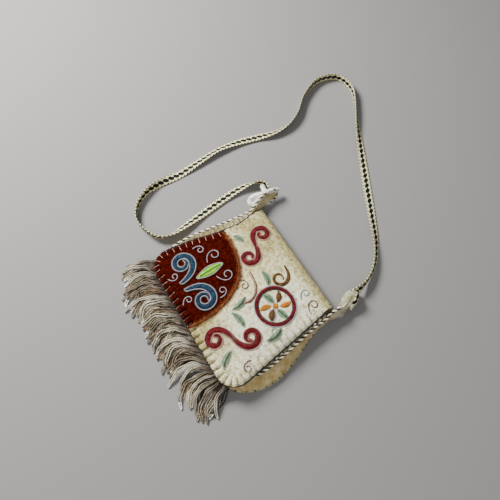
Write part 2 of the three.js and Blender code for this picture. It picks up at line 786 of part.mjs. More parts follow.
// Crimson S-scrolls, each made of two scrolls that part from one point
const scrollPairs = {
  red_scroll_low: [23.8, -20.9, 12, 37.5, 440],
  red_scroll_high: [-18.8, 22.4, 172, 33.2, -430],
};
for (const [name, shares] of Object.entries(scrollPairs)) {
  const whole = fromShares(shares);
  for (const [half, flip] of [['a', 0], ['b', 180]]) {
    const heading = whole.heading + flip;
    addCurl(`${name}_${half}`, colours.crimson, {
      ...whole,
      x: whole.x + scrollSplit * Math.cos(degToRad(heading)),
      y: whole.y + scrollSplit * Math.sin(degToRad(heading)),
      heading,
    }, scrollWidth);
  }
}
addCurl('brown_scroll', colours.brown, fromShares([1.4, 30.3, -2, 33.2, -420]), scrollWidth);

// Sage leaves between the scrolls
const leaves = [
  [9.4, -12.3, 80, 11.6, 50], [10.8, -13.7, 30, 11.6, -40], [35.6, -5, 70, 12.3, 60],
  [36, -34.6, 150, 11.6, -50], [-2.2, 15.9, 20, 10.8, -60], [-25, 17.3, 190, 8, 30],
];
leaves.forEach((shares, k) => addLeaf(`sage_leaf_${k + 1}`, colours.sage, fromShares(shares), leafWidth));

export default bag;
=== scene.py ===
import math
import random

import bmesh
import bpy
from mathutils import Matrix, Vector, kdtree, noise


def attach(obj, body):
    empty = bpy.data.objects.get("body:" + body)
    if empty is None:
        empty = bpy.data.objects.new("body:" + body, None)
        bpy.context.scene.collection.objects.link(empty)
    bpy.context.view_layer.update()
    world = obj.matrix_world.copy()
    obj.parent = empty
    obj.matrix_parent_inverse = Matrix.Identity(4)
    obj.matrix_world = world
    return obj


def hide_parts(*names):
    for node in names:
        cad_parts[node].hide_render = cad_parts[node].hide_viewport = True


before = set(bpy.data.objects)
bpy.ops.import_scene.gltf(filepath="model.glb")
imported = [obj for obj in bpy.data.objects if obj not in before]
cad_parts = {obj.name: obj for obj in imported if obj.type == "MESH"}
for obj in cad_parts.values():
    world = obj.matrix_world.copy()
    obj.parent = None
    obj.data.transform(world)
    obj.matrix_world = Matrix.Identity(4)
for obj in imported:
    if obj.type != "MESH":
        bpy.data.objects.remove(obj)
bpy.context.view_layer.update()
print("frame loaded")

mm = 0.001  # shapes below are worked out in millimetres
tau = 2 * math.pi
up = Vector((0, 0, 1))
draw = random.Random(11)


def linear(hexColour):
    parts = [int(hexColour[i:i + 2], 16) / 255 for i in (1, 3, 5)]
    return [c / 12.92 if c <= 0.04045 else ((c + 0.055) / 1.055) ** 2.4 for c in parts] + [1]


def addNode(tree, kind, inputs=None, **settings):
    made = tree.nodes.new(kind)
    for name, value in settings.items():
        setattr(made, name, value)
    for key, value in (inputs or {}).items():
        if isinstance(value, bpy.types.NodeSocket):
            tree.links.new(value, made.inputs[key])
        else:
            made.inputs[key].default_value = value
    return made


def newMaterial(name):
    material = bpy.data.materials.new(name)
    material.use_nodes = True
    material.node_tree.nodes.clear()
    return material, material.node_tree


def setStops(ramp, stops):
    elements = ramp.color_ramp.elements
    while len(elements) < len(stops):
        elements.new(0.5)
    for element, (place, hexColour) in zip(elements, stops):
        element.position = place
        element.color = linear(hexColour)
    return ramp.outputs["Color"]


def lerp(a, b, s):
    return a + (b - a) * s


def ease(s):
    s = min(max(s, 0), 1)
    return s * s * (3 - 2 * s)


def ramp(value, start, end):
    # eases from 0 at the start to 1 at the end, which may lie on either side of it
    return ease((value - start) / (end - start))


def steps(count):
    return [i / count for i in range(count + 1)]


def wobble(x, y, z, size):
    # smooth noise from -1 to 1 with lumps of a size in millimetres, where a set z picks one pattern of many
    return noise.noise(Vector((x, y, z)) / size)


def resample(points, step):
    # even steps along a line of points
    lengths = [0]
    for a, b in zip(points, points[1:]):
        lengths.append(lengths[-1] + (b - a).length)
    count = max(round(lengths[-1] / step), 2)
    out = []
    k = 0
    for i in range(count + 1):
        want = lengths[-1] * i / count
        while k < len(points) - 2 and lengths[k + 1] < want:
            k += 1
        span = max(lengths[k + 1] - lengths[k], 1e-9)
        out.append(points[k].lerp(points[k + 1], (want - lengths[k]) / span))
    return out


def smoothLine(points, rounds):
    points = list(points)
    for _ in range(rounds):
        middle = [(a + 2 * b + c) / 4 for a, b, c in zip(points, points[1:], points[2:])]
        points = [points[0], *middle, points[-1]]
    return points


def throughPoints(points, perSpan):
    # centripetal spline through given points, with the place in the list at each step
    ends = [2 * points[0] - points[1], *points, 2 * points[-1] - points[-2]]
    line = []
    for i in range(len(points) - 1):
        p0, p1, p2, p3 = ends[i:i + 4]
        t1 = max((p1 - p0).length ** 0.5, 1e-4)
        t2 = t1 + max((p2 - p1).length ** 0.5, 1e-4)
        t3 = t2 + max((p3 - p2).length ** 0.5, 1e-4)
        for k in range(perSpan):
            t = lerp(t1, t2, k / perSpan)
            a1 = p0.lerp(p1, t / t1)
            a2 = p1.lerp(p2, (t - t1) / (t2 - t1))
            a3 = p2.lerp(p3, (t - t2) / (t3 - t2))
            b1 = a1.lerp(a2, t / t2)
            b2 = a2.lerp(a3, (t - t1) / (t3 - t1))
            line.append((b1.lerp(b2, (t - t1) / (t2 - t1)), i + k / perSpan))
    line.append((points[-1], len(points) - 1))
    return line


def twisted(path, away, pitch, plies=2, step=1.2, start=0.0):
    # strands that wind round one another along a path
    points = resample(path, step)
    strands = [[] for _ in range(plies)]
    side = None
    run = 0
    for k, point in enumerate(points):
        along = (points[min(k + 1, len(points) - 1)] - points[max(k - 1, 0)]).normalized()
        side = along.orthogonal() if side is None else side
        side = (side - along * side.dot(along)).normalized()
        other = along.cross(side)
        run += (point - points[k - 1]).length if k else 0
        for p, strand in enumerate(strands):
            turn = tau * (run / pitch + p / plies) + start
            strand.append(point + (side * math.cos(turn) + other * math.sin(turn)) * away)
    return strands


def addObject(name, data):
    made = bpy.data.objects.new(name, data)
    bpy.context.scene.collection.objects.link(made)
    return made


def aim(made, place, target):
    made.location = place
    made.rotation_euler = (Vector(target) - made.location).to_track_quat("-Z", "Y").to_euler()


def addPiece(name, data, material, slot, *nodes):
    piece = addObject(name, data)
    piece.data.materials.append(material)
    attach(piece, "root")
    if nodes:
        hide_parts(*nodes)
    return piece


def finishMesh(name, bm, material, slot, *nodes):
    mesh = bpy.data.meshes.new(name)
    for face in bm.faces:
        face.smooth = True
    bm.to_mesh(mesh)
    bm.free()
    return addPiece(name, mesh, material, slot, *nodes)


def gridSheet(columns, rows, place, **paint):
    # place(u, v) gives the millimetre point of a grid corner, and paint its values for the material
    bm = bmesh.new()
    bmesh.ops.create_grid(bm, x_segments=columns, y_segments=rows, size=1)
    layers = {name: bm.verts.layers.float.new(name) for name in paint}
    for vert in bm.verts:
        u, v = (vert.co.x + 1) / 2, (vert.co.y + 1) / 2
        for name, layer in layers.items():
            vert[layer] = paint[name](u, v)
        vert.co = place(u, v) * mm
    bmesh.ops.recalc_face_normals(bm, faces=bm.faces)
    return bm


def thicken(piece, thickness, edge):
    shell = piece.modifiers.new("Thickness", "SOLIDIFY")
    shell.thickness = thickness * mm
    shell.offset = 0
    rim = piece.modifiers.new("Rim", "BEVEL")
    rim.affect = "EDGES"
    rim.width = edge * mm
    rim.segments = 2
    rim.profile = 0.5
    rim.material = -1
    rim.limit_method = "ANGLE"
    rim.angle_limit = math.radians(55)
    return piece


def sweepInto(gather, around, along, place, closed=False):
    # a closed skin round a path: u goes round the section and v along the path
    bm = bmesh.new()
    bmesh.ops.create_grid(bm, x_segments=around, y_segments=along, size=1)
    for vert in bm.verts:
        vert.co = place((vert.co.x + 1) / 2, (vert.co.y + 1) / 2) * mm
    bmesh.ops.remove_doubles(bm, verts=bm.verts, dist=1e-7)
    if not closed:
        bmesh.ops.holes_fill(bm, edges=[e for e in bm.edges if e.is_boundary], sides=0)
    bmesh.ops.recalc_face_normals(bm, faces=bm.faces)
    mesh = bpy.data.meshes.new("sweep")
    bm.to_mesh(mesh)
    bm.free()
    gather.from_mesh(mesh)
    bpy.data.meshes.remove(mesh)


def threads(name, strands, radius, material, slot, *nodes, corners=1):
    curve = bpy.data.curves.new(name, "CURVE")
    curve.dimensions = "3D"
    curve.bevel_depth = radius * mm
    curve.bevel_resolution = corners
    curve.use_fill_caps = True
    for points in strands:
        spline = curve.splines.new("POLY")
        spline.points.add(len(points) - 1)
        spline.points.foreach_set("co", [c for p in points for c in (*(p * mm), 1)])
        spline.use_smooth = True
    return addPiece(name, curve, material, slot, *nodes)


# Camera, at the photograph's angle
view = {"place": (0.2269, -0.1283, 0.8422), "target": (-0.0558, 0.0525, 0.02), "lens": 36, "sensor": 36}
camera = addObject("camera", bpy.data.cameras.new("camera"))
aim(camera, view["place"], view["target"])
camera.data.lens = view["lens"]
camera.data.sensor_width = view["sensor"]
bpy.context.scene.camera = camera
print("camera set")


# Wool felt, pressed from loose fibre: dull, softly clouded, with a short fibrous grain and small hollows.
# The fibres are drawn coarser than real ones, so that they show. A piece's attributes paint the stains on.
def feltMaterial(name, stops, mottle=5, fibre=3, relief=1.2, sheen=0.15, shine=0.15, stains=()):
    material, tree = newMaterial(name)
    place = addNode(tree, "ShaderNodeTexCoord").outputs["Object"]
    blotch = addNode(tree, "ShaderNodeTexNoise", {
        "Vector": place, "Scale": 1000 / mottle, "Detail": 3, "Roughness": 0.6})
    grain = addNode(tree, "ShaderNodeTexNoise", {
        "Vector": place, "Scale": 1000 / fibre, "Detail": 3, "Roughness": 0.65, "Distortion": 1.2})
    both = addNode(tree, "ShaderNodeMix", {0: 0.5, 2: blotch.outputs[0], 3: grain.outputs[0]})
    nap = addNode(tree, "ShaderNodeTexNoise", {
        "Vector": place, "Scale": 3000 / fibre, "Detail": 2, "Distortion": 2})
    height = addNode(tree, "ShaderNodeMix", {0: 0.25, 2: grain.outputs[0], 3: nap.outputs[0]})
    colour = setStops(addNode(tree, "ShaderNodeValToRGB", {"Fac": both.outputs[0]}), stops)
    for stain, stainStops in stains:
        amount = addNode(tree, "ShaderNodeAttribute", attribute_name=stain).outputs["Fac"]
        other = setStops(addNode(tree, "ShaderNodeValToRGB", {"Fac": both.outputs[0]}), stainStops)
        colour = addNode(tree, "ShaderNodeMix", {
            0: amount, 6: colour, 7: other}, data_type="RGBA").outputs[2]
    bump = addNode(tree, "ShaderNodeBump", {
        "Strength": 0.9, "Distance": relief * mm, "Height": height.outputs[0]})
    shader = addNode(tree, "ShaderNodeBsdfPrincipled", {
        "Base Color": colour, "Roughness": 0.95, "Specular IOR Level": shine,
        "Sheen Weight": sheen, "Sheen Roughness": 0.6, "Normal": bump.outputs[0]})
    addNode(tree, "ShaderNodeOutputMaterial", {"Surface": shader.outputs[0]})
    return material


# Spun wool yarn: soft and dull, its shade drifting along the thread, with painted shade where it is tucked
# away under the flap
def yarnMaterial(name, stops, drift=14, relief=0.4, paintedTuckShade=None):
    material, tree = newMaterial(name)
    place = addNode(tree, "ShaderNodeTexCoord").outputs["Object"]
    shade = addNode(tree, "ShaderNodeTexNoise", {
        "Vector": place, "Scale": 1000 / drift, "Detail": 5, "Roughness": 0.75})
    colour = setStops(addNode(tree, "ShaderNodeValToRGB", {"Fac": shade.outputs[0]}), stops)
    # painted shade: the colour is mixed towards dark brown between two places in y, for the shadow under
    # the flap
    if paintedTuckShade:
        split = addNode(tree, "ShaderNodeSeparateXYZ", {0: place})
        depth = addNode(tree, "ShaderNodeMapRange", {
            "Value": split.outputs[1], "From Min": paintedTuckShade["from"] * mm, "From Max": paintedTuckShade["to"] * mm,
            "To Max": paintedTuckShade["most"]}).outputs[0]
        colour = addNode(tree, "ShaderNodeMix", {
            0: depth, 6: colour, 7: linear(paintedTuckShade["colour"])}, data_type="RGBA").outputs[2]
    fuzz = addNode(tree, "ShaderNodeTexNoise", {"Vector": place, "Scale": 1000 / 0.9, "Detail": 2})
    bump = addNode(tree, "ShaderNodeBump", {
        "Strength": relief, "Distance": 0.4 * mm, "Height": fuzz.outputs[0]})
    shader = addNode(tree, "ShaderNodeBsdfPrincipled", {
        "Base Color": colour, "Roughness": 0.9, "Specular IOR Level": 0.2,
        "Sheen Weight": 0.15, "Sheen Roughness": 0.5, "Normal": bump.outputs[0]})
    addNode(tree, "ShaderNodeOutputMaterial", {"Surface": shader.outputs[0]})
    return material


terracottaStops = [(0.36, "#1b0200"), (0.5, "#320300"), (0.64, "#521202")]
whiteStops = [(0.37, "#aea67c"), (0.47, "#f5efc0"), (0.55, "#fffeea")]
paleStops = [(0.38, "#807755"), (0.5, "#b9b498"), (0.62, "#dbd9cc")]
# tans and olives for wear mixed with painted shade
wornStops = [(0.38, "#776633"), (0.5, "#ab9c60"), (0.62, "#cac08f")]
paleRimStops = [(0.36, "#310c02"), (0.5, "#5c240b"), (0.64, "#864a22")]
# dark browns painted into the creases, the gathers and along the flap's edge as shade
paintedShadeStops = [(0.38, "#2d1f0c"), (0.5, "#544021"), (0.62, "#7b633c")]
# on the cream felt the crease stain is painted shade, and the wear stain is wear mixed with painted shade
creamFelt = feltMaterial("creamFelt", [(0.38, "#a89c66"), (0.49, "#e6dca0"), (0.58, "#fdf8d4")],
                         mottle=6, fibre=3.6, relief=4, sheen=0.03, shine=0.06,
                         stains=[("pale", paleStops), ("white", whiteStops), ("worn", wornStops),
                                 ("crease", paintedShadeStops), ("terracotta", terracottaStops)])
beigeFelt = feltMaterial("beigeFelt", [(0.38, "#ad8b4f"), (0.5, "#ccb075"), (0.62, "#d7c493")],
                         mottle=15, relief=1.8, stains=[("pale", paleStops)])
terracottaFelt = feltMaterial("terracottaFelt", terracottaStops, fibre=2.4, relief=1.6, sheen=0, shine=0.03,
                              stains=[("paleRim", paleRimStops)])
blueFelt = feltMaterial("blueFelt", [(0.36, "#020d17"), (0.5, "#0a2438"), (0.64, "#1e465b")], sheen=0.06)
limeFelt = feltMaterial("limeFelt", [(0.38, "#46800f"), (0.5, "#76b71d"), (0.62, "#9dd241")])
crimsonFelt = feltMaterial("crimsonFelt", [(0.38, "#2d0206"), (0.5, "#58050c"), (0.62, "#7d1620")],
                           sheen=0.05)
sageFelt = feltMaterial("sageFelt", [(0.38, "#3b5e42"), (0.5, "#5e8264"), (0.62, "#83a282")])
ochreFelt = feltMaterial("ochreFelt", [(0.38, "#804506"), (0.5, "#b16a0f"), (0.62, "#cb8a2c")])
brownFelt = feltMaterial("brownFelt", [(0.38, "#2f1b06"), (0.5, "#523513"), (0.62, "#744f26")], sheen=0.08)

creamThread = yarnMaterial("creamThread", [(0.3, "#c9b88e"), (0.6, "#f8f0d6")], drift=8)
roseThread = yarnMaterial("roseThread", [(0.3, "#805240"), (0.6, "#c1a18b")], drift=8)
whiteYarn = yarnMaterial("whiteYarn", [(0.34, "#989282"), (0.5, "#ebe8dd"), (0.6, "#ffffff")], drift=6)
blackThread = yarnMaterial("blackThread", [(0.3, "#0e0e0f"), (0.7, "#2b2a2a")], drift=8)
darkThread = yarnMaterial("darkThread", [(0.3, "#1f1812"), (0.7, "#3b2f24")], drift=8)
greyThread = yarnMaterial("greyThread", [(0.3, "#7d777d"), (0.7, "#afa8ab")], drift=5)
crimsonThread = yarnMaterial("crimsonThread", [(0.3, "#44090f"), (0.7, "#6e1921")], drift=5)
sageThread = yarnMaterial("sageThread", [(0.3, "#638069"), (0.7, "#97ac92")], drift=5)
brownThread = yarnMaterial("brownThread", [(0.3, "#412911"), (0.7, "#6f502a")], drift=5)
print("felt and yarn materials made")

# Strap: a flat woven band, the route in metres as [x, y, lift from the table, tilt in degrees]
strapBand = {"width": 16, "thickness": 1.6, "length": 1.37, "clear": 0.3, "edgeRound": 0.6}
strapRoute = [
    (-0.1436, 0.1496, 0.005, 90), (-0.156, 0.153, 0.003, 88), (-0.167, 0.146, 0.001, 84),
    (-0.174, 0.131, 0, 52), (-0.178, 0.109, 0, 22), (-0.177, 0.073, 0, 6), (-0.171, 0.022, 0, 8),
    (-0.166, -0.015, 0, 30), (-0.163, -0.045, 0, 52), (-0.166, -0.064, 0, 80),
    (-0.178, -0.078, 0, 90), (-0.218, -0.089, 0, 90), (-0.238, -0.082, 0, 90),
    (-0.254, -0.067, 0, 84), (-0.265, -0.046, 0, 78), (-0.269, -0.018, 0, 45), (-0.268, 0.027, 0, 0),
    (-0.271, 0.07, 0, -20), (-0.274, 0.118, 0, -34), (-0.269, 0.16, 0, -14), (-0.259, 0.198, 0, -5),
    (-0.248, 0.234, 0, -36), (-0.248, 0.264, 0, -56), (-0.258, 0.294, 0, -85),
    (-0.288, 0.333, 0, -92), (-0.305, 0.374, 0, -98), (-0.303, 0.399, 0, -98),
    (-0.292, 0.419, 0, -98), (-0.271, 0.428, 0, -98), (-0.246, 0.426, 0, -96),
    (-0.216, 0.41, 0, -88), (-0.168, 0.381, 0, -52), (-0.126, 0.357, 0, -20), (-0.074, 0.328, 0, -2),
    (0, 0.286, 0, -12), (0.058, 0.251, 0, -50), (0.088, 0.221, 0, -68), (0.101, 0.195, 0.002, -78),
    (0.106, 0.173, 0.007, -55), (0.1074, 0.1594, 0.0084, -33),
]


def strapFrames():
    line = throughPoints([Vector(p[:3]) / mm for p in strapRoute], 14)
    tilts = []
    for _, place in line:
        k = min(int(place), len(strapRoute) - 2)
        tilts.append(math.radians(lerp(strapRoute[k][3], strapRoute[k + 1][3], place - k)))
    for _ in range(12):  # the twist eases from one tilt to the next
        eased = [(a + b + c) / 3 for a, b, c in zip(tilts, tilts[1:], tilts[2:])]
        tilts = [tilts[0], *eased, tilts[-1]]
    half, thin = strapBand["width"] / 2, strapBand["thickness"] / 2
    frames = []
    run = 0
    for k, ((point, _), tilt) in enumerate(zip(line, tilts)):
        after, before = line[min(k + 1, len(line) - 1)][0], line[max(k - 1, 0)][0]
        heading = (after - before).to_2d().normalized()
        level = Vector((-heading.y, heading.x, 0))
        wide = level * math.cos(tilt) + up * math.sin(tilt)
        deep = up * math.cos(tilt) - level * math.sin(tilt)
        rest = half * abs(math.sin(tilt)) + thin * abs(math.cos(tilt)) + strapBand["clear"]
        centre = Vector((point.x, point.y, max(point.z, 0) + rest))
        run += (centre - frames[-1][0]).length if frames else 0
        frames.append((centre, wide, deep, run))
    return frames


def strapSection():
    # along the top from edge to edge and round, then the same turned over for the underside
    half, thin, edge = strapBand["width"] / 2, strapBand["thickness"] / 2, strapBand["edgeRound"]
    top = [(lerp(edge - half, half - edge, s), thin) for s in steps(10)]
    turn = [(half - edge + edge * math.cos(a), thin * math.sin(a)) for a in (0.9, 0.3, -0.3, -0.9)]
    ring = top + turn
    return ring + [(-across, -deep) for across, deep in ring]


# Woven wool band: bright cream with dark notches along both edges and a chain of dark slanting dashes
def strapMaterial():
    # the weave is drawn about twice as coarse as the real one, so that it shows
    sizes = {"link": 11, "linkDark": 0.88, "linkHalf": 4.3, "linkWaist": 1.2, "linkLean": 0.5,
             "notch": 7, "notchDark": 0.44, "notchSoft": 0.12, "notchStart": 5.8, "notchLean": 0.9,
             "thread": 1.1, "shade": 2.6}
    material, tree = newMaterial("wovenBand")
    place = addNode(tree, "ShaderNodeTexCoord").outputs["UV"]
    split = addNode(tree, "ShaderNodeSeparateXYZ", {0: place})
    along, across = split.outputs[0], split.outputs[1]
    off = addNode(tree, "ShaderNodeMath", {0: across}, operation="ABSOLUTE").outputs[0]
    lean = addNode(tree, "ShaderNodeMath", {
        0: across, 1: sizes["linkLean"], 2: along}, operation="MULTIPLY_ADD").outputs[0]
    links = addNode(tree, "ShaderNodeMath", {
        0: lean, 1: sizes["link"] / 2 * mm}, operation="PINGPONG").outputs[0]
    reach = addNode(tree, "ShaderNodeMapRange", {
        "Value": links, "From Min": (1 - sizes["linkDark"]) * sizes["link"] / 2 * mm,
        "From Max": (1 - sizes["linkDark"] * 0.5) * sizes["link"] / 2 * mm,
        "To Min": sizes["linkWaist"] * mm, "To Max": sizes["linkHalf"] * mm}).outputs[0]
    dark = addNode(tree, "ShaderNodeMath", {0: off, 1: reach}, operation="LESS_THAN").outputs[0]
    slant = addNode(tree, "ShaderNodeMath", {
        0: off, 1: sizes["notchLean"], 2: along}, operation="MULTIPLY_ADD").outputs[0]
    notches = addNode(tree, "ShaderNodeMath", {
        0: slant, 1: sizes["notch"] / 2 * mm}, operation="PINGPONG").outputs[0]
    bright = addNode(tree, "ShaderNodeMapRange", {
        "Value": notches, "From Min": (sizes["notchDark"] - sizes["notchSoft"]) * sizes["notch"] / 2 * mm,
        "From Max": (sizes["notchDark"] + sizes["notchSoft"]) * sizes["notch"] / 2 * mm}).outputs[0]
    inner = addNode(tree, "ShaderNodeMath", {
        0: off, 1: sizes["notchStart"] * mm}, operation="LESS_THAN").outputs[0]
    dash = addNode(tree, "ShaderNodeMath", {0: bright, 1: inner}, operation="MAXIMUM").outputs[0]
    shade = addNode(tree, "ShaderNodeTexNoise", {
        "Vector": addNode(tree, "ShaderNodeTexCoord").outputs["Object"],
        "Scale": 1000 / sizes["shade"], "Detail": 3})
    warp = setStops(addNode(tree, "ShaderNodeValToRGB", {"Fac": shade.outputs[0]}),
                    [(0.35, "#c2b578"), (0.5, "#ebe1ac"), (0.65, "#fbf6da")])
    figure = setStops(addNode(tree, "ShaderNodeValToRGB", {"Fac": shade.outputs[0]}),
                      [(0.4, "#030403"), (0.7, "#16201a")])
    edging = addNode(tree, "ShaderNodeMix", {
        0: dash, 6: linear("#2c240e"), 7: warp}, data_type="RGBA").outputs[2]
    colour = addNode(tree, "ShaderNodeMix", {
        0: dark, 6: edging, 7: figure}, data_type="RGBA").outputs[2]
    # a wave texture has one band in 0.314 of a unit at scale 1
    picks = addNode(tree, "ShaderNodeTexWave", {
        "Vector": place, "Scale": 0.314 / (sizes["thread"] * mm), "Distortion": 0.6}, bands_direction="X")
    weave = addNode(tree, "ShaderNodeMath", {
        0: picks.outputs[1], 1: 0.4, 2: dash}, operation="MULTIPLY_ADD").outputs[0]
    bump = addNode(tree, "ShaderNodeBump", {"Strength": 0.7, "Distance": 0.6 * mm, "Height": weave})
    shader = addNode(tree, "ShaderNodeBsdfPrincipled", {
        "Base Color": colour, "Roughness": 0.85, "Specular IOR Level": 0.2, "Normal": bump.outputs[0]})
    addNode(tree, "ShaderNodeOutputMaterial", {"Surface": shader.outputs[0]})
    return material


wovenBand = strapMaterial()


# Strap: a closed flat tube along the route, its UV running along and across the weave in metres
def makeStrap():
    frames = strapFrames()
    section = strapSection()
    around, along = len(section), len(frames) - 1
    bm = bmesh.new()
    bmesh.ops.create_grid(bm, x_segments=around, y_segments=along, size=1)
    uv = bm.loops.layers.uv.new("weave")
    corner = {}
    for vert in bm.verts:
        i = round((vert.co.x + 1) / 2 * around)
        k = round((vert.co.y + 1) / 2 * along)
        centre, wide, deep, run = frames[k]
        across, lift = section[i % around]
        vert.co = (centre + wide * across + deep * lift) * mm
        corner[vert] = (run * mm, across * mm)
    for face in bm.faces:
        for loop in face.loops:
            loop[uv].uv = corner[loop.vert]
    bmesh.ops.remove_doubles(bm, verts=bm.verts, dist=1e-7)
    bmesh.ops.holes_fill(bm, edges=[e for e in bm.edges if e.is_boundary], sides=0)
    bmesh.ops.recalc_face_normals(bm, faces=bm.faces)
    strap = finishMesh("strap_band", bm, wovenBand, "strap_weave", "strap")
    return frames


strapLine = makeStrap()
print("strap made, length in mm:", round(strapLine[-1][3]))

# Flap and back panel, one felt sheet folded over the mouth
felt = {"thickness": 4.4, "edge": 1.5}
flap = {"foldY": 100, "topWidth": 216, "bottomWidth": 277, "bottomY": -110, "corner": 35, "level": 28.2,
        "crown": 12, "crownTail": 0.9, "crownFullness": 2.5, "drawIn": 9.5, "drawRun": 45,
        "release": 6, "releaseStart": 75, "releaseEnd": 135, "middleY": -20, "settle": 14}
pucker = {"pitch": 12.4, "uneven": 0.5, "depth": 4.2, "width": 2.4, "reach": 8, "fade": 9,
          "puff": 1.1, "puffStart": 3, "roll": 1.6, "rollReach": 3, "pull": 0.9, "pullReach": 4,
          "leftShare": 0.55, "leftToRight": (-110, 10)}
swell = {"large": 0.9, "largeSize": 42, "small": 0.75, "smallSize": 9,
         "fold": 0.5, "foldSize": 16, "foldRun": 40}


def flapStraightHalf(y):
    drop = (flap["foldY"] - y) / (flap["foldY"] - flap["bottomY"])
    return lerp(flap["topWidth"], flap["bottomWidth"], drop) / 2


def flapHalfWidth(y):
    # with the rounded lower corners
    reach = flap["corner"] - min(max(y - flap["bottomY"], 0), flap["corner"])
    return flapStraightHalf(y) - flap["corner"] + math.sqrt(max(flap["corner"] ** 2 - reach ** 2, 0))


def flapDraw(y):
    # the left edge is drawn in below the fold, so that more of the front panel shows, and less further down
    down = flap["foldY"] - y
    released = ramp(down, flap["releaseStart"], flap["releaseEnd"])
    return flap["drawIn"] * ease(down / flap["drawRun"]) - flap["release"] * released


def flapLeftX(y):
    return flapDraw(y) - flapHalfWidth(y)


def flapMiddle(x, y):
    # height of the middle of the sheet, before its swells and puckers
    drop = max((flap["foldY"] - y) / (flap["foldY"] - flap["bottomY"]), 0)
    across = min(abs(x) / flapHalfWidth(y), 1)
    rise = math.sin(math.pi * flap["crownTail"] * drop) * (1 - across ** flap["crownFullness"])
    return flap["level"] + flap["crown"] * rise


def flapEdge():
    # free edge of the flap in plan, down the left side, along the bottom and up the right
    cornerTop = flap["bottomY"] + flap["corner"]
    ys = [lerp(flap["foldY"], cornerTop, s) for s in steps(90)]
    ys += [cornerTop - flap["corner"] * math.sin(s * math.pi / 2) for s in steps(30)[1:]]
    left = [Vector((flapLeftX(y), y, 0)) for y in ys]
    right = [Vector((flapHalfWidth(y), y, 0)) for y in reversed(ys)]
    return resample([*left, *right], 1)


edgeLine = flapEdge()
edgeStep = (edgeLine[1] - edgeLine[0]).length
edgeLength = edgeStep * (len(edgeLine) - 1)
stitchCount = round(edgeLength / pucker["pitch"])
stitchPitch = edgeLength / stitchCount
edgeTree = kdtree.KDTree(len(edgeLine))
for index, point in enumerate(edgeLine):
    edgeTree.insert(point, index)
edgeTree.balance()


def edgeAt(x, y):
    # distance to the flap's edge, and how far along it
    _, index, away = edgeTree.find((x, y, 0))
    return away, index * edgeStep


def stitchBeat(along):
    # 1 in the groove of a stitch and 0 midway between two, with each stitch's own strength
    stitch = math.floor(along / stitchPitch)
    off = along - (stitch + 0.5) * stitchPitch
    strength = 1 + pucker["uneven"] * noise.noise(Vector((stitch * 0.73, 3.1, 0)))
    return math.exp(-(off / pucker["width"]) ** 2), strength


def settled(y):
    # 0 at the fold, where the sheet is smooth, and 1 a little way down
    return ease((flap["foldY"] - y) / flap["settle"])


def flapTop(x, y):
    away, along = edgeAt(x, y)
    groove, strength = stitchBeat(along)
    # the terracotta side is sewn more loosely
    strength *= lerp(pucker["leftShare"], 1, ramp(x, *pucker["leftToRight"]))
    reach = 1 - ease((away - pucker["reach"] * strength) / pucker["fade"])
    dent = pucker["depth"] * strength * groove * reach
    puff = pucker["puff"] * (1 - groove) * reach * ease(away / pucker["puffStart"])
    roll = pucker["roll"] * math.exp(-away / pucker["rollReach"])
    wave = swell["large"] * wobble(x, y, 7, swell["largeSize"])
    wave += swell["small"] * wobble(x, y, 1, swell["smallSize"])
    return flapMiddle(x, y) + felt["thickness"] / 2 + settled(y) * (wave + puff - dent - roll)


def pulledIn(x, y):
    # the stitches draw the edge in a little at every leg
    away, along = edgeAt(x, y)
    pull = pucker["pull"] * stitchBeat(along)[0] * math.exp(-away / pucker["pullReach"]) * settled(y)
    inward = Vector((-x, flap["middleY"] - y, 0)).normalized()
    return x + inward.x * pull, y + inward.y * pull


# Body panels: s runs 0 to 1 down the side and 1 to 2 round the lower corner
backPanel = {"topY": 96, "topWidth": 244, "width": 300, "widestY": -37, "bottomY": -112,
             "across": 55, "slump": 8}
frontPanel = {"topY": 96, "topWidth": 233, "width": 264, "widestY": -45, "bottomY": -105,
              "across": 50, "slump": 0}


def panelRow(panel, s):
    # y, half width and sideways slump of a row
    down = min(s, 1)
    turn = max(s - 1, 0) * math.pi / 2
    half = lerp(panel["topWidth"], panel["width"], ease(down)) / 2 - panel["across"] * (1 - math.cos(turn))
    y = lerp(panel["topY"], panel["widestY"], down) - (panel["widestY"] - panel["bottomY"]) * math.sin(turn)
    return y, half, panel["slump"] * ease(down)


# Terracotta felt in the flap's lower left corner, its free side an arc from edge to edge
field = {"margin": 2.4, "across": 145, "up": 138, "square": 2.4, "ragged": 1.6,
         "thickness": 1.0, "edge": 0.4, "lift": 0.7, "stain": 0.5, "stainReach": 4, "stainInset": 0.5,
         "paleRim": 0.06, "rimShade": 0.75, "rimWander": 0.3, "rimSize": 6}


def fieldReach(angle):
    a = (math.cos(angle) / field["across"]) ** field["square"]
    b = (math.sin(angle) / field["up"]) ** field["square"]
    return (a + b) ** (-1 / field["square"]) + field["ragged"] * noise.noise(Vector((angle * 14, 2, 0)))


def beyondField(x, y):
    # how far outside the free side a point lies, below 0 on the terracotta
    across = max(x - flapDraw(y) + flapStraightHalf(y) - field["margin"], 0)
    rise = max(y - flap["bottomY"] - field["margin"], 0)
    return math.hypot(across, rise) - fieldReach(math.atan2(rise, across))


def inField(x, y):
    return beyondField(x, y) < 0


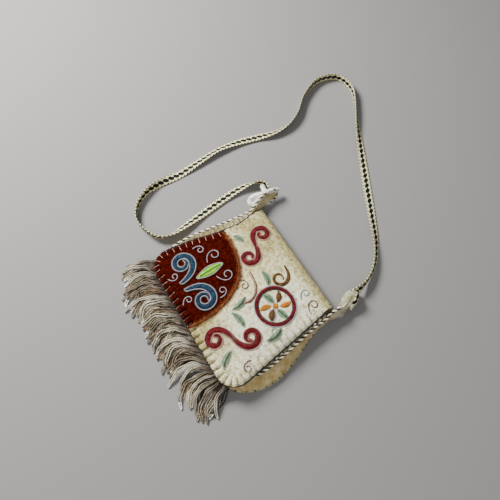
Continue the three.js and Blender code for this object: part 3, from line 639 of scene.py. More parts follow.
# Rows of the sheet run up the back panel, over the fold and down the flap
def makeFlap():
    parts = {"columns": 176, "side": 26, "corner": 14, "fold": 18, "straight": 104, "lower": 26}
    # shares of wear with painted shade, of whiteness and of painted shade in the creases, with the places
    # between which each comes up, in millimetres
    wearAndShadeSpread = {"onFold": 0.8, "onBack": 0.3, "leftToRight": (-60, 60), "foldLeft": 0.95, "foldRight": 0.6,
            "reachLeft": 17, "reachRight": 5, "upper": 0.85, "upperX": (30, -70), "upperY": (10, 80),
            "lower": 0.85, "lowerX": (105, 45), "lowerY": (-40, -85), "cloud": 0.5, "cloudSize": 18}
    whiter = {"x": (5, 65), "y": (99, 89), "low": 0.35, "lowY": (-95, -25)}
    # painted shade in the stitches' grooves and along the flap's edge
    creaseShade = {"groove": 0.45, "grooveReach": (5, 12), "edge": 0.4, "edgeReach": 2, "whiteShare": 0.35}
    foldRadius = (flap["level"] - felt["thickness"] / 2) / 2
    cornerTop = flap["bottomY"] + flap["corner"]
    rows = [("back", 2 - s) for s in steps(parts["corner"])[:-1]]
    rows += [("back", 1 - s) for s in steps(parts["side"])]
    rows += [("fold", s) for s in steps(parts["fold"])[:-1]]
    rows += [("flap", lerp(flap["foldY"], cornerTop, s)) for s in steps(parts["straight"])[:-1]]
    for s in steps(parts["lower"]):
        rows.append(("flap", cornerTop - flap["corner"] * math.sin(s * math.pi / 2)))
    last = len(rows) - 1

    def spot(u, v):
        # which part of the sheet, and on the flap its place in plan
        kind, y = rows[round(v * last)]
        return kind, lerp(flapLeftX(y), flapHalfWidth(y), u) if kind == "flap" else u, y

    def place(u, v):
        kind, x, value = spot(u, v)
        t = 2 * u - 1
        if kind == "back":
            y, half, shift = panelRow(backPanel, value)
            return Vector((shift + half * t, y, felt["thickness"] / 2))
        if kind == "fold":
            half = flap["topWidth"] / 2
            angle = math.pi * (value - 0.5)
            give = swell["fold"] * wobble(t * half, value * swell["foldRun"], 2, swell["foldSize"])
            radius = foldRadius + give * math.sin(math.pi * value)
            z = felt["thickness"] / 2 + foldRadius + radius * math.sin(angle)
            return Vector((half * t, flap["foldY"] + radius * math.cos(angle), z))
        return Vector((*pulledIn(x, value), flapTop(x, value) - felt["thickness"] / 2))

    def terracotta(u, v):
        kind, x, y = spot(u, v)
        if kind != "flap":
            return 0
        out = beyondField(x, y) + field["stainInset"]
        return 1 if out < 0 else field["stain"] * math.exp(-(out / field["stainReach"]) ** 2)

    def worn(u, v):
        # darker on the fold, and softer below it to the left and along the fringe: partly wear from
        # handling, partly painted shade where the felt turns from the light
        kind, x, y = spot(u, v)
        if kind != "flap":
            return wearAndShadeSpread["onFold"] if kind == "fold" else wearAndShadeSpread["onBack"]
        right = ramp(x, *wearAndShadeSpread["leftToRight"])
        fold = lerp(wearAndShadeSpread["foldLeft"], wearAndShadeSpread["foldRight"], right)
        fold *= math.exp(-(flap["foldY"] - y) / lerp(wearAndShadeSpread["reachLeft"], wearAndShadeSpread["reachRight"], right))
        upper = wearAndShadeSpread["upper"] * ramp(x, *wearAndShadeSpread["upperX"]) * ramp(y, *wearAndShadeSpread["upperY"])
        lower = wearAndShadeSpread["lower"] * ramp(y, *wearAndShadeSpread["lowerY"]) * ramp(x, *wearAndShadeSpread["lowerX"])
        cloud = 1 + wearAndShadeSpread["cloud"] * wobble(x, y, 5, wearAndShadeSpread["cloudSize"])
        return min(max(fold, upper, lower) * cloud, 1)

    def white(u, v):
        # the wool is whiter on the right, short of the fold
        kind, x, y = spot(u, v)
        if kind != "flap":
            return 0
        full = lerp(whiter["low"], 1, ramp(y, *whiter["lowY"]))
        return ramp(x, *whiter["x"]) * ramp(y, *whiter["y"]) * full

    def crease(u, v):
        # painted shade: darker brown in the stitches' grooves and along the edge, less where the wool is
        # whiter
        kind, x, y = spot(u, v)
        if kind != "flap":
            return 0
        away, along = edgeAt(x, y)
        groove, strength = stitchBeat(along)
        inGroove = creaseShade["groove"] * groove * strength * (1 - ramp(away, *creaseShade["grooveReach"]))
        amount = min(inGroove + creaseShade["edge"] * math.exp(-away / creaseShade["edgeReach"]), 1)
        return amount * settled(y) * (1 - creaseShade["whiteShare"] * white(u, v))

    bm = gridSheet(parts["columns"], last, place, terracotta=terracotta,
                   white=white, worn=worn, crease=crease)
    piece = finishMesh("felt_back_and_flap", bm, creamFelt, "cream_felt", "back_panel_flap")
    thicken(piece, felt["thickness"], felt["edge"])


makeFlap()
print("flap and back panel made, stitches:", stitchCount)


# Front panel, bulged between its seams and puckered along them
def makeFront():
    front = {"columns": 110, "side": 60, "corner": 24, "edgeZ": 22, "crown": 12,
             "gatherPitch": 9.5, "gatherReach": 12, "puff": 1.4, "dent": 3.2,
             "worn": 0.35, "wornLeft": 0.75, "wornY": (20, 70), "brown": 0.5, "brownY": (50, 15)}
    rowsAt = [*steps(front["side"]), *[1 + s for s in steps(front["corner"])[1:]]]
    last = len(rowsAt) - 1

    def gathers(u, v):
        y, half, _ = panelRow(frontPanel, rowsAt[round(v * last)])
        t = 2 * u - 1
        away = half * (1 - abs(t))
        groove = (0.5 + 0.5 * math.cos(tau * y / front["gatherPitch"] + 2 * wobble(0, y, t, 20))) ** 2
        return half * t, y, groove, math.exp(-(away / front["gatherReach"]) ** 2)

    def place(u, v):
        x, y, groove, gather = gathers(u, v)
        drop = (frontPanel["topY"] - y) / (frontPanel["topY"] - frontPanel["bottomY"])
        z = front["edgeZ"] + front["crown"] * math.sin(math.pi * drop) * (1 - (2 * u - 1) ** 2)
        return Vector((x, y, z + (front["puff"] * (1 - groove) - front["dent"] * groove) * gather))

    def worn(u, v):
        # wear mixed with painted shade, most at the lower left
        _, y, _, _ = gathers(u, v)
        left = lerp(front["wornLeft"], front["worn"], ramp(y, *front["wornY"]))
        return lerp(left, front["worn"], u)

    def crease(u, v):
        # painted shade: brown in the gathers, and all along the lower left side
        x, y, groove, gather = gathers(u, v)
        lowerLeft = front["brown"] * ramp(y, *front["brownY"]) if x < 0 else 0
        return max(groove * gather, lowerLeft)

    bm = gridSheet(front["columns"], last, place, pale=lambda u, v: 1, worn=worn, crease=crease)
    piece = finishMesh("felt_front", bm, creamFelt, "cream_felt", "front_panel")
    thicken(piece, felt["thickness"], felt["edge"])


makeFront()
print("front panel made")

# Gusset strip round the sides and bottom, ending in an ear at each side of the mouth
gusset = {"across": 12, "earSteps": 22, "thickness": 3.6, "edge": 1.2, "bulge": 2,
          "crease": 2.4, "creaseSize": 13, "wrinkle": 1.0, "wrinkleSize": 6,
          "inset": 3, "topZ": 17.7, "footZ": 6.5, "paleStart": 0.3, "paleRise": 1.6,
          "earLength": 62, "earTip": 14, "earTipZ": 14, "earLift": 4}
ears = {
    -1: {"lean": 10, "tilt": 22, "front": 26, "back": 2, "corded": 1, "pale": 0.45},
    1: {"lean": -11, "tilt": -57, "front": 12, "back": 13, "corded": 0.5, "pale": 0.8},
}


def outlineLine(panel, margin, z, side=44, corner=22, bottom=40):
    # a panel's outline moved in by a margin, from the mouth down the left, along the foot and up again
    moved = dict(panel, topWidth=panel["topWidth"] - 2 * margin, width=panel["width"] - 2 * margin,
                 bottomY=panel["bottomY"] + margin, across=panel["across"] - margin)
    rows = [panelRow(moved, s) for s in [*steps(side), *[1 + s for s in steps(corner)[1:]]]]
    left = [Vector((shift - half, y, z)) for y, half, shift in rows]
    right = [Vector((shift + half, y, z)) for y, half, shift in reversed(rows)]
    return [*left, *[left[-1].lerp(right[0], s) for s in steps(bottom)[1:-1]], *right]


def bend(a, b, c, s):
    # a curve from a to c that leans towards b
    return a.lerp(b, s).lerp(b.lerp(c, s), s)


gussetFront = outlineLine(frontPanel, gusset["inset"], gusset["topZ"])
gussetBack = outlineLine(backPanel, gusset["inset"], gusset["footZ"])


def earEdge(side, edge, s):
    # front or back edge of an ear, from the mouth to its tip
    ear = ears[side]
    end = 0 if side < 0 else -1
    mouthFront, mouthBack = gussetFront[end], gussetBack[end]
    mouthY = frontPanel["topY"]
    middleY = mouthY + gusset["earLength"] / 2
    tilt = math.radians(ear["tilt"])
    tip = Vector((mouthBack.x + side * ear["lean"], mouthY + gusset["earLength"], gusset["earTipZ"]))
    spread = Vector((side * math.sin(tilt), 0, math.cos(tilt))) * gusset["earTip"] / 2
    if edge == "front":
        belly = Vector((mouthFront.x + side * ear["front"], middleY, gusset["topZ"] + gusset["earLift"]))
        return bend(mouthFront, belly, tip + spread, s)
    belly = Vector((mouthBack.x + side * ear["back"], middleY, gusset["footZ"]))
    return bend(mouthBack, belly, tip - spread, s)


def makeGusset():
    earSteps = steps(gusset["earSteps"])[1:]
    edges = {}
    for edge, line in (("front", gussetFront), ("back", gussetBack)):
        left = [earEdge(-1, edge, s) for s in reversed(earSteps)]
        right = [earEdge(1, edge, s) for s in earSteps]
        edges[edge] = [*left, *line, *right]
    front, back = edges["front"], edges["back"]
    last = len(front) - 1

    def place(u, v):
        k = round(v * last)
        along = front[min(k + 1, last)] - front[max(k - 1, 0)]
        outward = (back[k] - front[k]).cross(along).normalized()
        point = front[k].lerp(back[k], u)
        crease = gusset["crease"] * wobble(*point, gusset["creaseSize"])
        crease += gusset["wrinkle"] * wobble(point.x, point.y, 4, gusset["wrinkleSize"])
        return point + outward * (gusset["bulge"] + crease) * math.sin(math.pi * u)

    def pale(u, v):
        k = round(v * last)
        ear = ears[-1] if k < last / 2 else ears[1]
        rise = max(len(earSteps) - k, k - last + len(earSteps)) / len(earSteps)
        return ear["pale"] * ease(gusset["paleRise"] * rise + gusset["paleStart"])

    bm = gridSheet(gusset["across"], last, place, pale=pale)
    piece = finishMesh("felt_gusset", bm, beigeFelt, "beige_felt", "gusset")
    thicken(piece, gusset["thickness"], gusset["edge"])


makeGusset()
print("gusset and ears made")

# Twisted seam cord, one dark and one cream ply, carried on up both ears
seamCord = {"away": 1.2, "radius": 1.25, "creamRadius": 1.65, "pitch": 11, "out": 2.8, "z": 21.8,
            "earRise": 2.5, "tipOut": 1.6, "tipRise": 1.2}


def seamRoute():
    line = outlineLine(frontPanel, -seamCord["out"], seamCord["z"])
    route = {}
    for side in (-1, 1):
        route[side] = []
        for station in steps(12)[3:]:
            s = station * ears[side]["corded"]
            front, back = earEdge(side, "front", s), earEdge(side, "back", s)
            edgeward = (front - back).normalized()
            route[side].append(front + edgeward * seamCord["out"] + up * seamCord["earRise"] * (1 - s))
    # round the left ear's tip and a little way down its other edge
    for s in (1, 0.93, 0.86, 0.78, 0.7):
        front, back = earEdge(-1, "front", s), earEdge(-1, "back", s)
        edgeward = (back - front).normalized()
        route[-1].append(back + edgeward * seamCord["tipOut"] + up * seamCord["tipRise"])
    return smoothLine(resample([*reversed(route[-1]), *line, *route[1]], 3), 2)


darkPly, creamPly = twisted(seamRoute(), seamCord["away"], seamCord["pitch"])
threads("seam_cord_dark", [darkPly], seamCord["radius"], blackThread, "dark_cord", "seam_cord")
threads("seam_cord_cream", [creamPly], seamCord["creamRadius"], creamThread, "cream_thread")
print("seam cord made")


def fieldPlace(angle, depth):
    # angle goes round the corner, and depth from the flap's own edge to the free side
    radius = flap["corner"] - field["margin"]
    toCentre = radius * (math.cos(angle) + math.sin(angle))
    inner = toCentre - math.sqrt(max(toCentre ** 2 - radius ** 2, 0))
    distance = lerp(inner, fieldReach(angle), depth)
    y = flap["bottomY"] + field["margin"] + distance * math.sin(angle)
    x = field["margin"] + distance * math.cos(angle) - flapStraightHalf(y) + flapDraw(y)
    return x, y


def surface(x, y):
    # height of the top of whatever felt lies here
    return flapTop(x, y) + (field["lift"] + field["thickness"] / 2 if inField(x, y) else 0)


def makeField():
    def place(u, v):
        x, y = fieldPlace(v * math.pi / 2, u)
        return Vector((x, y, flapTop(x, y) + field["lift"]))

    def paleRim(u, v):
        wander = field["rimWander"] * wobble(u * 100, v * 200, 3, field["rimSize"])
        return field["rimShade"] * ease((u - 1) / field["paleRim"] + 1 + wander)

    piece = finishMesh("terracotta_corner", gridSheet(92, 100, place, paleRim=paleRim), terracottaFelt,
                       "terracotta_felt", "terracotta_field")
    thicken(piece, field["thickness"], field["edge"])


makeField()


# Loose terracotta fibres felted across the free side into the cream
def makeFuzz():
    fuzz = {"count": 2600, "length": 3.4, "band": 4.4, "radius": 0.1, "curl": 1.2, "lift": 0.1, "arch": 0.5}
    material = yarnMaterial("looseFibre", [(0.3, "#521d07"), (0.6, "#975b26")], drift=6)
    fibres = []
    for _ in range(fuzz["count"]):
        angle = draw.uniform(0.01, math.pi / 2 - 0.01)
        x, y = fieldPlace(angle, 1 + draw.gauss(0, fuzz["band"] / 2 / fieldReach(angle)))
        bearing = draw.uniform(0, tau)
        curl = draw.uniform(-fuzz["curl"], fuzz["curl"])
        points = []
        for s in steps(4):
            x += math.cos(bearing + curl * s) * fuzz["length"] / 5
            y += math.sin(bearing + curl * s) * fuzz["length"] / 5
            z = surface(x, y) + fuzz["lift"] + fuzz["arch"] * math.sin(math.pi * s)
            points.append(Vector((x, y, z)))
        fibres.append(points)
    threads("terracotta_fibres", fibres, fuzz["radius"], material, "terracotta_felt", corners=0)


makeFuzz()
print("terracotta felt made")

# Motif shapes: the centre line of each scroll or leaf, from x, y, heading, length and turn, and its widths.
# The lists of scrolls and leaves are in hundredths of the flap's foot, and all else in millimetres.
flapShare = flap["bottomWidth"] / 100
curls = {"winding": 1.8, "scrollSteps": 56, "leafSteps": 24, "thinEnd": 0.3, "skew": 0.8, "leafEnd": 0.6}


def curlLine(x, y, heading, length, turn, winding=curls["winding"], count=curls["scrollSteps"]):
    # a line that turns ever more tightly where winding is above 1
    points = [Vector((x, y, 0))]
    for k in range(count):
        angle = math.radians(heading + turn * ((k + 0.5) / count) ** winding)
        points.append(points[-1] + Vector((math.cos(angle), math.sin(angle), 0)) * length / count)
    return points


def scroll(x, y, heading, length, turn, width):
    points = curlLine(x, y, heading, length, turn)
    fullness = [math.sin(math.pi * s ** curls["skew"]) for s in steps(len(points) - 1)]
    return points, [width * lerp(curls["thinEnd"], 1, full) for full in fullness]


def leaf(x, y, heading, length, turn, width):
    points = curlLine(x, y, heading, length, turn, 1, curls["leafSteps"])
    return points, [max(width * math.sin(math.pi * s), curls["leafEnd"]) for s in steps(len(points) - 1)]


def shares(x, y, heading, length, turn):
    return x * flapShare, y * flapShare, heading, length * flapShare, turn


horn = {"x": -53, "y": -84, "spread": 7, "lean": 8, "length": 140, "turn": 500, "width": 9}
bud = {"rise": 28, "length": 52, "width": 15}
roundel = {"x": 58, "y": 30, "radius": 32, "rim": 5, "rays": 6, "rayWidth": 10, "rayTurn": 42, "hub": 5.5,
           "gapIn": 0.3, "gapOut": 0.6}
scrolls = {"width": 6.8, "overlap": 0.6,
           "crimson": [(23.8, -20.9, 12, 37.5, 440), (-18.8, 22.4, 172, 33.2, -430)],
           "brown": (1.4, 30.3, -2, 33.2, -420)}
leaves = {"width": 9,
          "sage": [(9.4, -12.3, 80, 11.6, 50), (10.8, -13.7, 30, 11.6, -40), (35.6, -5, 70, 12.3, 60),
                   (36, -34.6, 150, 11.6, -50), (-2.2, 15.9, 20, 10.8, -60), (-25, 17.3, 190, 8, 30)]}
motifs = {"blue": [], "lime": [], "crimson": [], "sage": [], "ochre": [], "brown": []}


def roundelSpot(distance, angle):
    return roundel["x"] + distance * math.cos(angle), roundel["y"] + distance * math.sin(angle)


for side in (-1, 1):
    motifs["blue"].append(scroll(horn["x"] + side * horn["spread"], horn["y"], 90 - horn["lean"] * side,
                                 horn["length"], -horn["turn"] * side, horn["width"]))
motifs["lime"].append(leaf(horn["x"], horn["y"] + bud["rise"], 90, bud["length"], 0, bud["width"]))
for half in scrolls["crimson"]:  # two like scrolls back to back make an S
    for flip in (0, 180):
        x, y, heading, length, turn = shares(*half)
        bearing = math.radians(heading + flip)
        x -= scrolls["overlap"] * math.cos(bearing)
        y -= scrolls["overlap"] * math.sin(bearing)
        motifs["crimson"].append(scroll(x, y, heading + flip, length, turn, scrolls["width"]))
motifs["brown"].append(scroll(*shares(*scrolls["brown"]), scrolls["width"]))
for values in leaves["sage"]:
    motifs["sage"].append(leaf(*shares(*values), leaves["width"]))
for ray in range(roundel["rays"]):
    bearing = 360 * ray / roundel["rays"]
    start = roundel["hub"] + roundel["gapIn"]
    length = roundel["radius"] - roundel["rim"] / 2 - roundel["hub"] - roundel["gapIn"] - roundel["gapOut"]
    shape = leaf(*roundelSpot(start, math.radians(bearing)), bearing, length,
                 roundel["rayTurn"], roundel["rayWidth"])
    motifs[("sage", "ochre", "brown")[ray % 3]].append(shape)
hubWidth = 2 * roundel["hub"]
motifs["ochre"].append(leaf(roundel["x"] - roundel["hub"], roundel["y"], 0, hubWidth, 0, hubWidth))
roundelRing = [Vector((*roundelSpot(roundel["radius"], tau * s), 0)) for s in steps(96)]

sageLeaves = [f"sage_leaf_{k}" for k in range(1, 7)]
redScrolls = ["red_scroll_low_a", "red_scroll_low_b", "red_scroll_high_a", "red_scroll_high_b"]
motifFinish = {
    "blue": (blueFelt, "blue_felt", ["horn_left", "horn_right"]),
    "lime": (limeFelt, "lime_felt", ["lime_bud"]),
    "crimson": (crimsonFelt, "crimson_felt", ["roundel_ring", *redScrolls]),
    "sage": (sageFelt, "sage_felt", ["roundel_ray_1", "roundel_ray_4", *sageLeaves]),
    "ochre": (ochreFelt, "ochre_felt", ["roundel_ray_2", "roundel_ray_5", "roundel_hub"]),
    "brown": (brownFelt, "brown_felt", ["roundel_ray_3", "roundel_ray_6", "brown_scroll"]),
}
ribbon = {"height": 1.7, "sink": 0.5, "around": 12, "fullWidth": 5}


def asideAt(points, k, closed=False):
    # unit step to the left of a line at one of its points
    last = len(points) - 1
    if closed:
        before, after = points[(k - 1) % last], points[(k + 1) % last]
    else:
        before, after = points[max(k - 1, 0)], points[min(k + 1, last)]
    heading = (after - before).normalized()
    return Vector((-heading.y, heading.x, 0))


def ribbonInto(gather, points, widths, closed=False):
    # a strip of felt along a line, rounded above and sunk a little into the felt below
    last = len(points) - 1

    def place(u, v):
        k = round(v * last)
        angle = tau * (round(u * ribbon["around"]) % ribbon["around"]) / ribbon["around"]
        spot = points[k] + asideAt(points, k, closed) * widths[k] / 2 * math.cos(angle)
        full = min(widths[k] / ribbon["fullWidth"], 1)
        lift = ribbon["height"] * full * max(math.sin(angle), 0) ** 0.7
        if math.sin(angle) < -0.01:
            lift = -ribbon["sink"]
        return Vector((spot.x, spot.y, surface(spot.x, spot.y) + lift))

    sweepInto(gather, ribbon["around"], last, place, closed)


for name, shapes in motifs.items():
    material, slot, nodes = motifFinish[name]
    gather = bmesh.new()
    for points, widths in shapes:
        ribbonInto(gather, points, widths)
    if name == "crimson":
        ribbonInto(gather, roundelRing, [roundel["rim"]] * len(roundelRing), True)
    finishMesh(f"{name}_ornament", gather, material, slot, *nodes)
print("ornament made")


# Couched outlines: fine twisted cords laid round the ornament, veins on it and tendrils between
couching = {"first": 1.0, "second": 2.5, "leaf": 0.4, "ring": 0.9, "lift": 0.6, "step": 1.2,
            "veinLift": 0.1, "veinStep": 1.5, "twist": 0.45, "pitch": 3.6, "thread": 0.55}
tendrils = {
    "pale": [(-68, -26, 160, 62, -390), (-38, -26, 20, 62, 390), (-106, -34, 96, 44, -390),
             (-2, -40, 86, 44, 390), (-80, -98, 30, 40, 380), (-26, -98, 150, 40, -380)],
    "brown": [(100, 74, 178, 56, -400), (-12, 2, 62, 44, -380)],
    "sage": [(104, -2, 100, 42, 390), (72, 74, 165, 46, -390)],
    "crimson": [(110, -52, -100, 46, 400), (-16, 26, 0, 74, -130)],
    "rose": [(-16, 23.4, 0, 70, -130)],
}


def laid(points, lift=couching["lift"], step=couching["step"]):
    return [Vector((p.x, p.y, surface(p.x, p.y) + lift)) for p in resample(points, step)]


def outlineOf(offset, *shapes):
    # one ring round a shape, or round two that meet at their starts
    skip = len(shapes) - 1
    ring = []
    for points, widths in shapes:
        reach = [asideAt(points, k) * (width / 2 + offset) for k, width in enumerate(widths)]
        left = [p + r for p, r in zip(points, reach)]
        right = [p - r for p, r in zip(points, reach)]
        ring += [*left[skip:], *reversed(right[skip:])]
    return laid(smoothLine([*ring, ring[0]], 2))


def veinOf(points):
    return laid(points[3:-3], ribbon["height"] + couching["veinLift"], couching["veinStep"])


def makeCouching():
    finish = {"pale": (greyThread, "grey_yarn"), "dark": (darkThread, "dark_cord"),
              "crimson": (crimsonThread, "crimson_felt"), "rose": (roseThread, "cream_thread"),
              "sage": (sageThread, "sage_felt"), "brown": (brownThread, "brown_felt")}
    cords = {shade: [] for shade in finish}
    for shape in (*motifs["blue"], *motifs["lime"], motifs["brown"][-1]):
        cords["pale"].append(outlineOf(couching["first"], shape))
    for shape in motifs["blue"]:
        cords["dark"].append(outlineOf(couching["second"], shape))
    for halves in (motifs["crimson"][:2], motifs["crimson"][2:]):
        cords["crimson"].append(outlineOf(couching["first"], *halves))
        cords["rose"].append(outlineOf(couching["second"], *halves))
    for shape in motifs["sage"]:
        cords["sage"].append(outlineOf(couching["leaf"], shape))
    for side in (-1, 1):
        share = 1 + side * (roundel["rim"] / 2 + couching["ring"]) / roundel["radius"]
        ring = [Vector((roundel["x"], roundel["y"], 0)).lerp(p, share) for p in roundelRing]
        cords["pale" if side > 0 else "dark"].append(laid(ring))
    for shade, lines in tendrils.items():
        cords[shade] += [laid(curlLine(*line)) for line in lines]
    cords["brown"] += [veinOf(points) for points, _ in motifs["sage"]]
    cords["dark"] += [veinOf(points) for points, _ in motifs["lime"]]
    for shade, (material, slot) in finish.items():
        strands = []
        for line in cords[shade]:
            strands += twisted(line, couching["twist"], couching["pitch"], step=0.8)
        threads(f"couched_{shade}", strands, couching["thread"], material, slot)


makeCouching()
print("couched cords made")


def edgeFrame(index):
    # a point of the flap's edge, the way along it and the way in from it
    here = edgeLine[index]
    heading = (edgeLine[index + 1] - here).normalized()
    return here, heading, Vector((-heading.y, heading.x, 0))


def besideEdge(index, out, down):
    # a point out from the flap's puckered edge and down from its top
    here, _, inward = edgeFrame(index)
    return Vector((*pulledIn(here.x, here.y), flapTop(here.x, here.y) - down)) - inward * out


# Blanket stitch round the flap: a leg at each pucker and a thread along the edge
def makeBlanketStitch():
    stitch = {"leg": 11.5, "slant": 1.6, "radius": 0.5, "topMargin": 6, "dive": 1.4, "lift": 0.35,
              "colourAt": 5, "edgeRadius": 0.55, "edgeOut": 0.2, "edgeDown": 3.2}
    turnUnder = [(0.7, 1.0), (0.9, 2.4), (0.3, 3.8)]  # out and down, where a leg goes round the edge
    legs = {"cream": [], "rose": []}
    for k in range(stitchCount):
        along = (k + 0.5) * stitchPitch
        here, heading, inward = edgeFrame(min(round(along / edgeStep), len(edgeLine) - 2))
        if flap["foldY"] - here.y < stitch["topMargin"]:
            continue
        lean = heading * stitch["slant"] * draw.uniform(-1, 1)
        reach = stitch["leg"] * draw.uniform(0.85, 1.12)
        leg = []
        for s in steps(7):
            spot = here + inward * (reach * (1 - s)) + lean * (1 - s)
            rise = stitch["lift"] if s else -stitch["dive"]
            leg.append(Vector((spot.x, spot.y, surface(spot.x, spot.y) + rise)))
        rest = leg[-1]
        leg += [rest - inward * out - up * down for out, down in turnUnder]
        probe = here + inward * stitch["colourAt"]
        legs["rose" if inField(probe.x, probe.y) else "cream"].append(leg)
    rim = []
    for index in range(6, len(edgeLine) - 6, 2):
        rim.append(besideEdge(index, stitch["edgeOut"], stitch["edgeDown"]))
    threads("blanket_stitch_legs", legs["rose"], stitch["radius"], roseThread,
            "cream_thread", "blanket_stitch")
    threads("blanket_stitch_cream", legs["cream"], stitch["radius"], creamThread, "cream_thread")
    threads("blanket_stitch_rim", [rim], stitch["edgeRadius"], creamThread, "cream_thread")


makeBlanketStitch()
print("blanket stitch made")


# Thin two-colour dark cord that edges the flap from below, set out past the edge so that it also stands as
# painted shade in the gap under the edge
def makeEdging():
    edging = {"out": 2.4, "down": 1.3, "tuckedOut": 0.4, "tuckedDown": 3, "tuckedTo": 4, "tuckRun": 40,
              "away": 0.6, "pitch": 8, "darkRadius": 1.1, "brownRadius": 1.0}
    line = []
    for index in range(4, len(edgeLine) - 4, 3):
        # tucked under the edge along the fringe
        beside = ease((edgeLine[index].y - flap["bottomY"] - edging["tuckedTo"]) / edging["tuckRun"])
        out = lerp(edging["tuckedOut"], edging["out"], beside)
        line.append(besideEdge(index, out, lerp(edging["tuckedDown"], edging["down"], beside)))
    dark, brown = twisted(smoothLine(line, 1), edging["away"], edging["pitch"])
    threads("flap_edging_dark", [dark], edging["darkRadius"], blackThread, "dark_cord")
    threads("flap_edging_brown", [brown], edging["brownRadius"], darkThread, "dark_cord")


makeEdging()
print("flap edging made")

# Fringe: twisted yarn in hairpin loops, in tufts that arch from under the flap and fall to the table
fringe = {"tufts": 13, "loopsEach": 10, "under": 4, "underShare": 0.85, "overlap": 1.15,
          "length": 82, "uneven": 10, "swing": 14, "fan": 34, "rootStray": 9, "tipStray": 26,
          "away": 0.5, "ply": 0.8, "pitch": 8, "top": 20.5, "floor": 1.7, "arch": 2.5,
          "tuck": (0, 6), "spread": (2.4, 4.6), "waves": 4.8, "waveLength": 20}
whiteTips = {"share": 0.12, "steps": 4, "ply": 0.85, "pitch": 5}
fringeHeading = {"out": 6.3, "leftTurn": 1.45, "rightTurn": 1.56, "away": 1, "ply": 1.1, "pitch": 7}
# share of the full length, by place along the heading
fringeLong = [(0, 0.8), (0.12, 0.92), (0.3, 0.98), (0.6, 1), (0.84, 1.05), (0.94, 1.0), (1, 0.85)]
# bearings in degrees at the root and at the tip, by place along the heading
rootBearing = [(0, -130), (0.08, -142), (0.8, -145), (0.92, -108), (1, -58)]
tipBearing = [(0, -98), (0.1, -82), (0.25, -58), (0.5, -46), (0.8, -40), (0.92, -34), (1, -24)]
# how high each shade lies in the heap, and its colours; the deep shade is near-black yarn low in the heap,
# put there as painted shadow in the gaps between the strands
fringeShades = {
    "grey": {"heap": (1, 8), "stops": [(0.3, "#3f362b"), (0.5, "#776b57"), (0.7, "#a9a08a")]},
    "brown": {"heap": (0, 6), "stops": [(0.3, "#322215"), (0.5, "#675037"), (0.7, "#947c5b")]},
    "pale": {"heap": (4, 10), "stops": [(0.3, "#7d735f"), (0.5, "#b5ad96"), (0.7, "#d2cdbe")]},
    "deep": {"heap": (0, 0.5), "stops": [(0.3, "#19120d"), (0.7, "#443529")]},
}
# places in y between which painted shade darkens the yarn towards the flap's edge, for the flap's shadow on
# it
paintedTuckShade = {"from": -140, "to": -114, "most": 0.84, "colour": "#2d231b"}


def between(stops, s):
    # value at s on a line through the stops
    for (a, low), (b, high) in zip(stops, stops[1:]):
        if s <= b:
            return lerp(low, high, (s - a) / (b - a))
    return stops[-1][1]


def headingLine():
    # line in plan of the twisted heading that the loops hang from
    out = fringeHeading["out"]
    moved = dict(frontPanel, width=frontPanel["width"] + 2 * out, bottomY=frontPanel["bottomY"] - out,
                 across=frontPanel["across"] + out)
    left = [panelRow(moved, lerp(fringeHeading["leftTurn"], 2, s)) for s in steps(20)]
    right = [panelRow(moved, lerp(2, fringeHeading["rightTurn"], s)) for s in steps(20)]
    return resample([*[Vector((-half, y, 0)) for y, half, _ in left],
                     *[Vector((half, y, 0)) for y, half, _ in right]], 1)


def fringeLoop(root, first, last, reach, heapUp):
    # centre line of a hairpin, then its two legs side by side, with places as shares of its length
    loop = {"steps": 30, "turnStart": 0.15, "turnRun": 0.85, "fallStart": 0.05, "fallRun": 0.55,
            "archEnd": 0.35, "heapRate": 1.05, "heapRound": 0.8, "swayStart": 0.25,
            "neck": 0.35, "neckEnd": 0.4, "tipSquare": 14}
    tuck = draw.uniform(*fringe["tuck"])
    spread = draw.uniform(*fringe["spread"])
    seed = draw.uniform(0, 100)
    centre = []
    spot = root.copy()
    for t in steps(loop["steps"]):
        bearing = math.radians(lerp(first, last, ease((t - loop["turnStart"]) / loop["turnRun"])))
        way = Vector((math.cos(bearing), math.sin(bearing), 0))
        aside = Vector((-way.y, way.x, 0))
        heap = heapUp * math.sin(math.pi * min(t * loop["heapRate"], 1)) ** loop["heapRound"]
        arch = fringe["top"] - tuck + fringe["arch"] * math.sin(math.pi * min(t / loop["archEnd"], 1))
        fall = ease((t - loop["fallStart"]) / loop["fallRun"])
        sway = fringe["waves"] * ease(t / loop["swayStart"])
        sway *= wobble(t * reach, seed, 0, fringe["waveLength"])
        width = spread * lerp(loop["neck"], 1, ease(t / loop["neckEnd"]))
        width *= math.sqrt(max(1 - t ** loop["tipSquare"], 0))
        middle = Vector((spot.x, spot.y, lerp(arch, fringe["floor"] + heap, fall))) + aside * sway
        centre.append((middle, aside * width / 2))
        spot += way * reach / loop["steps"]
    return [p + aside for p, aside in centre] + [p - aside for p, aside in reversed(centre[:-1])]


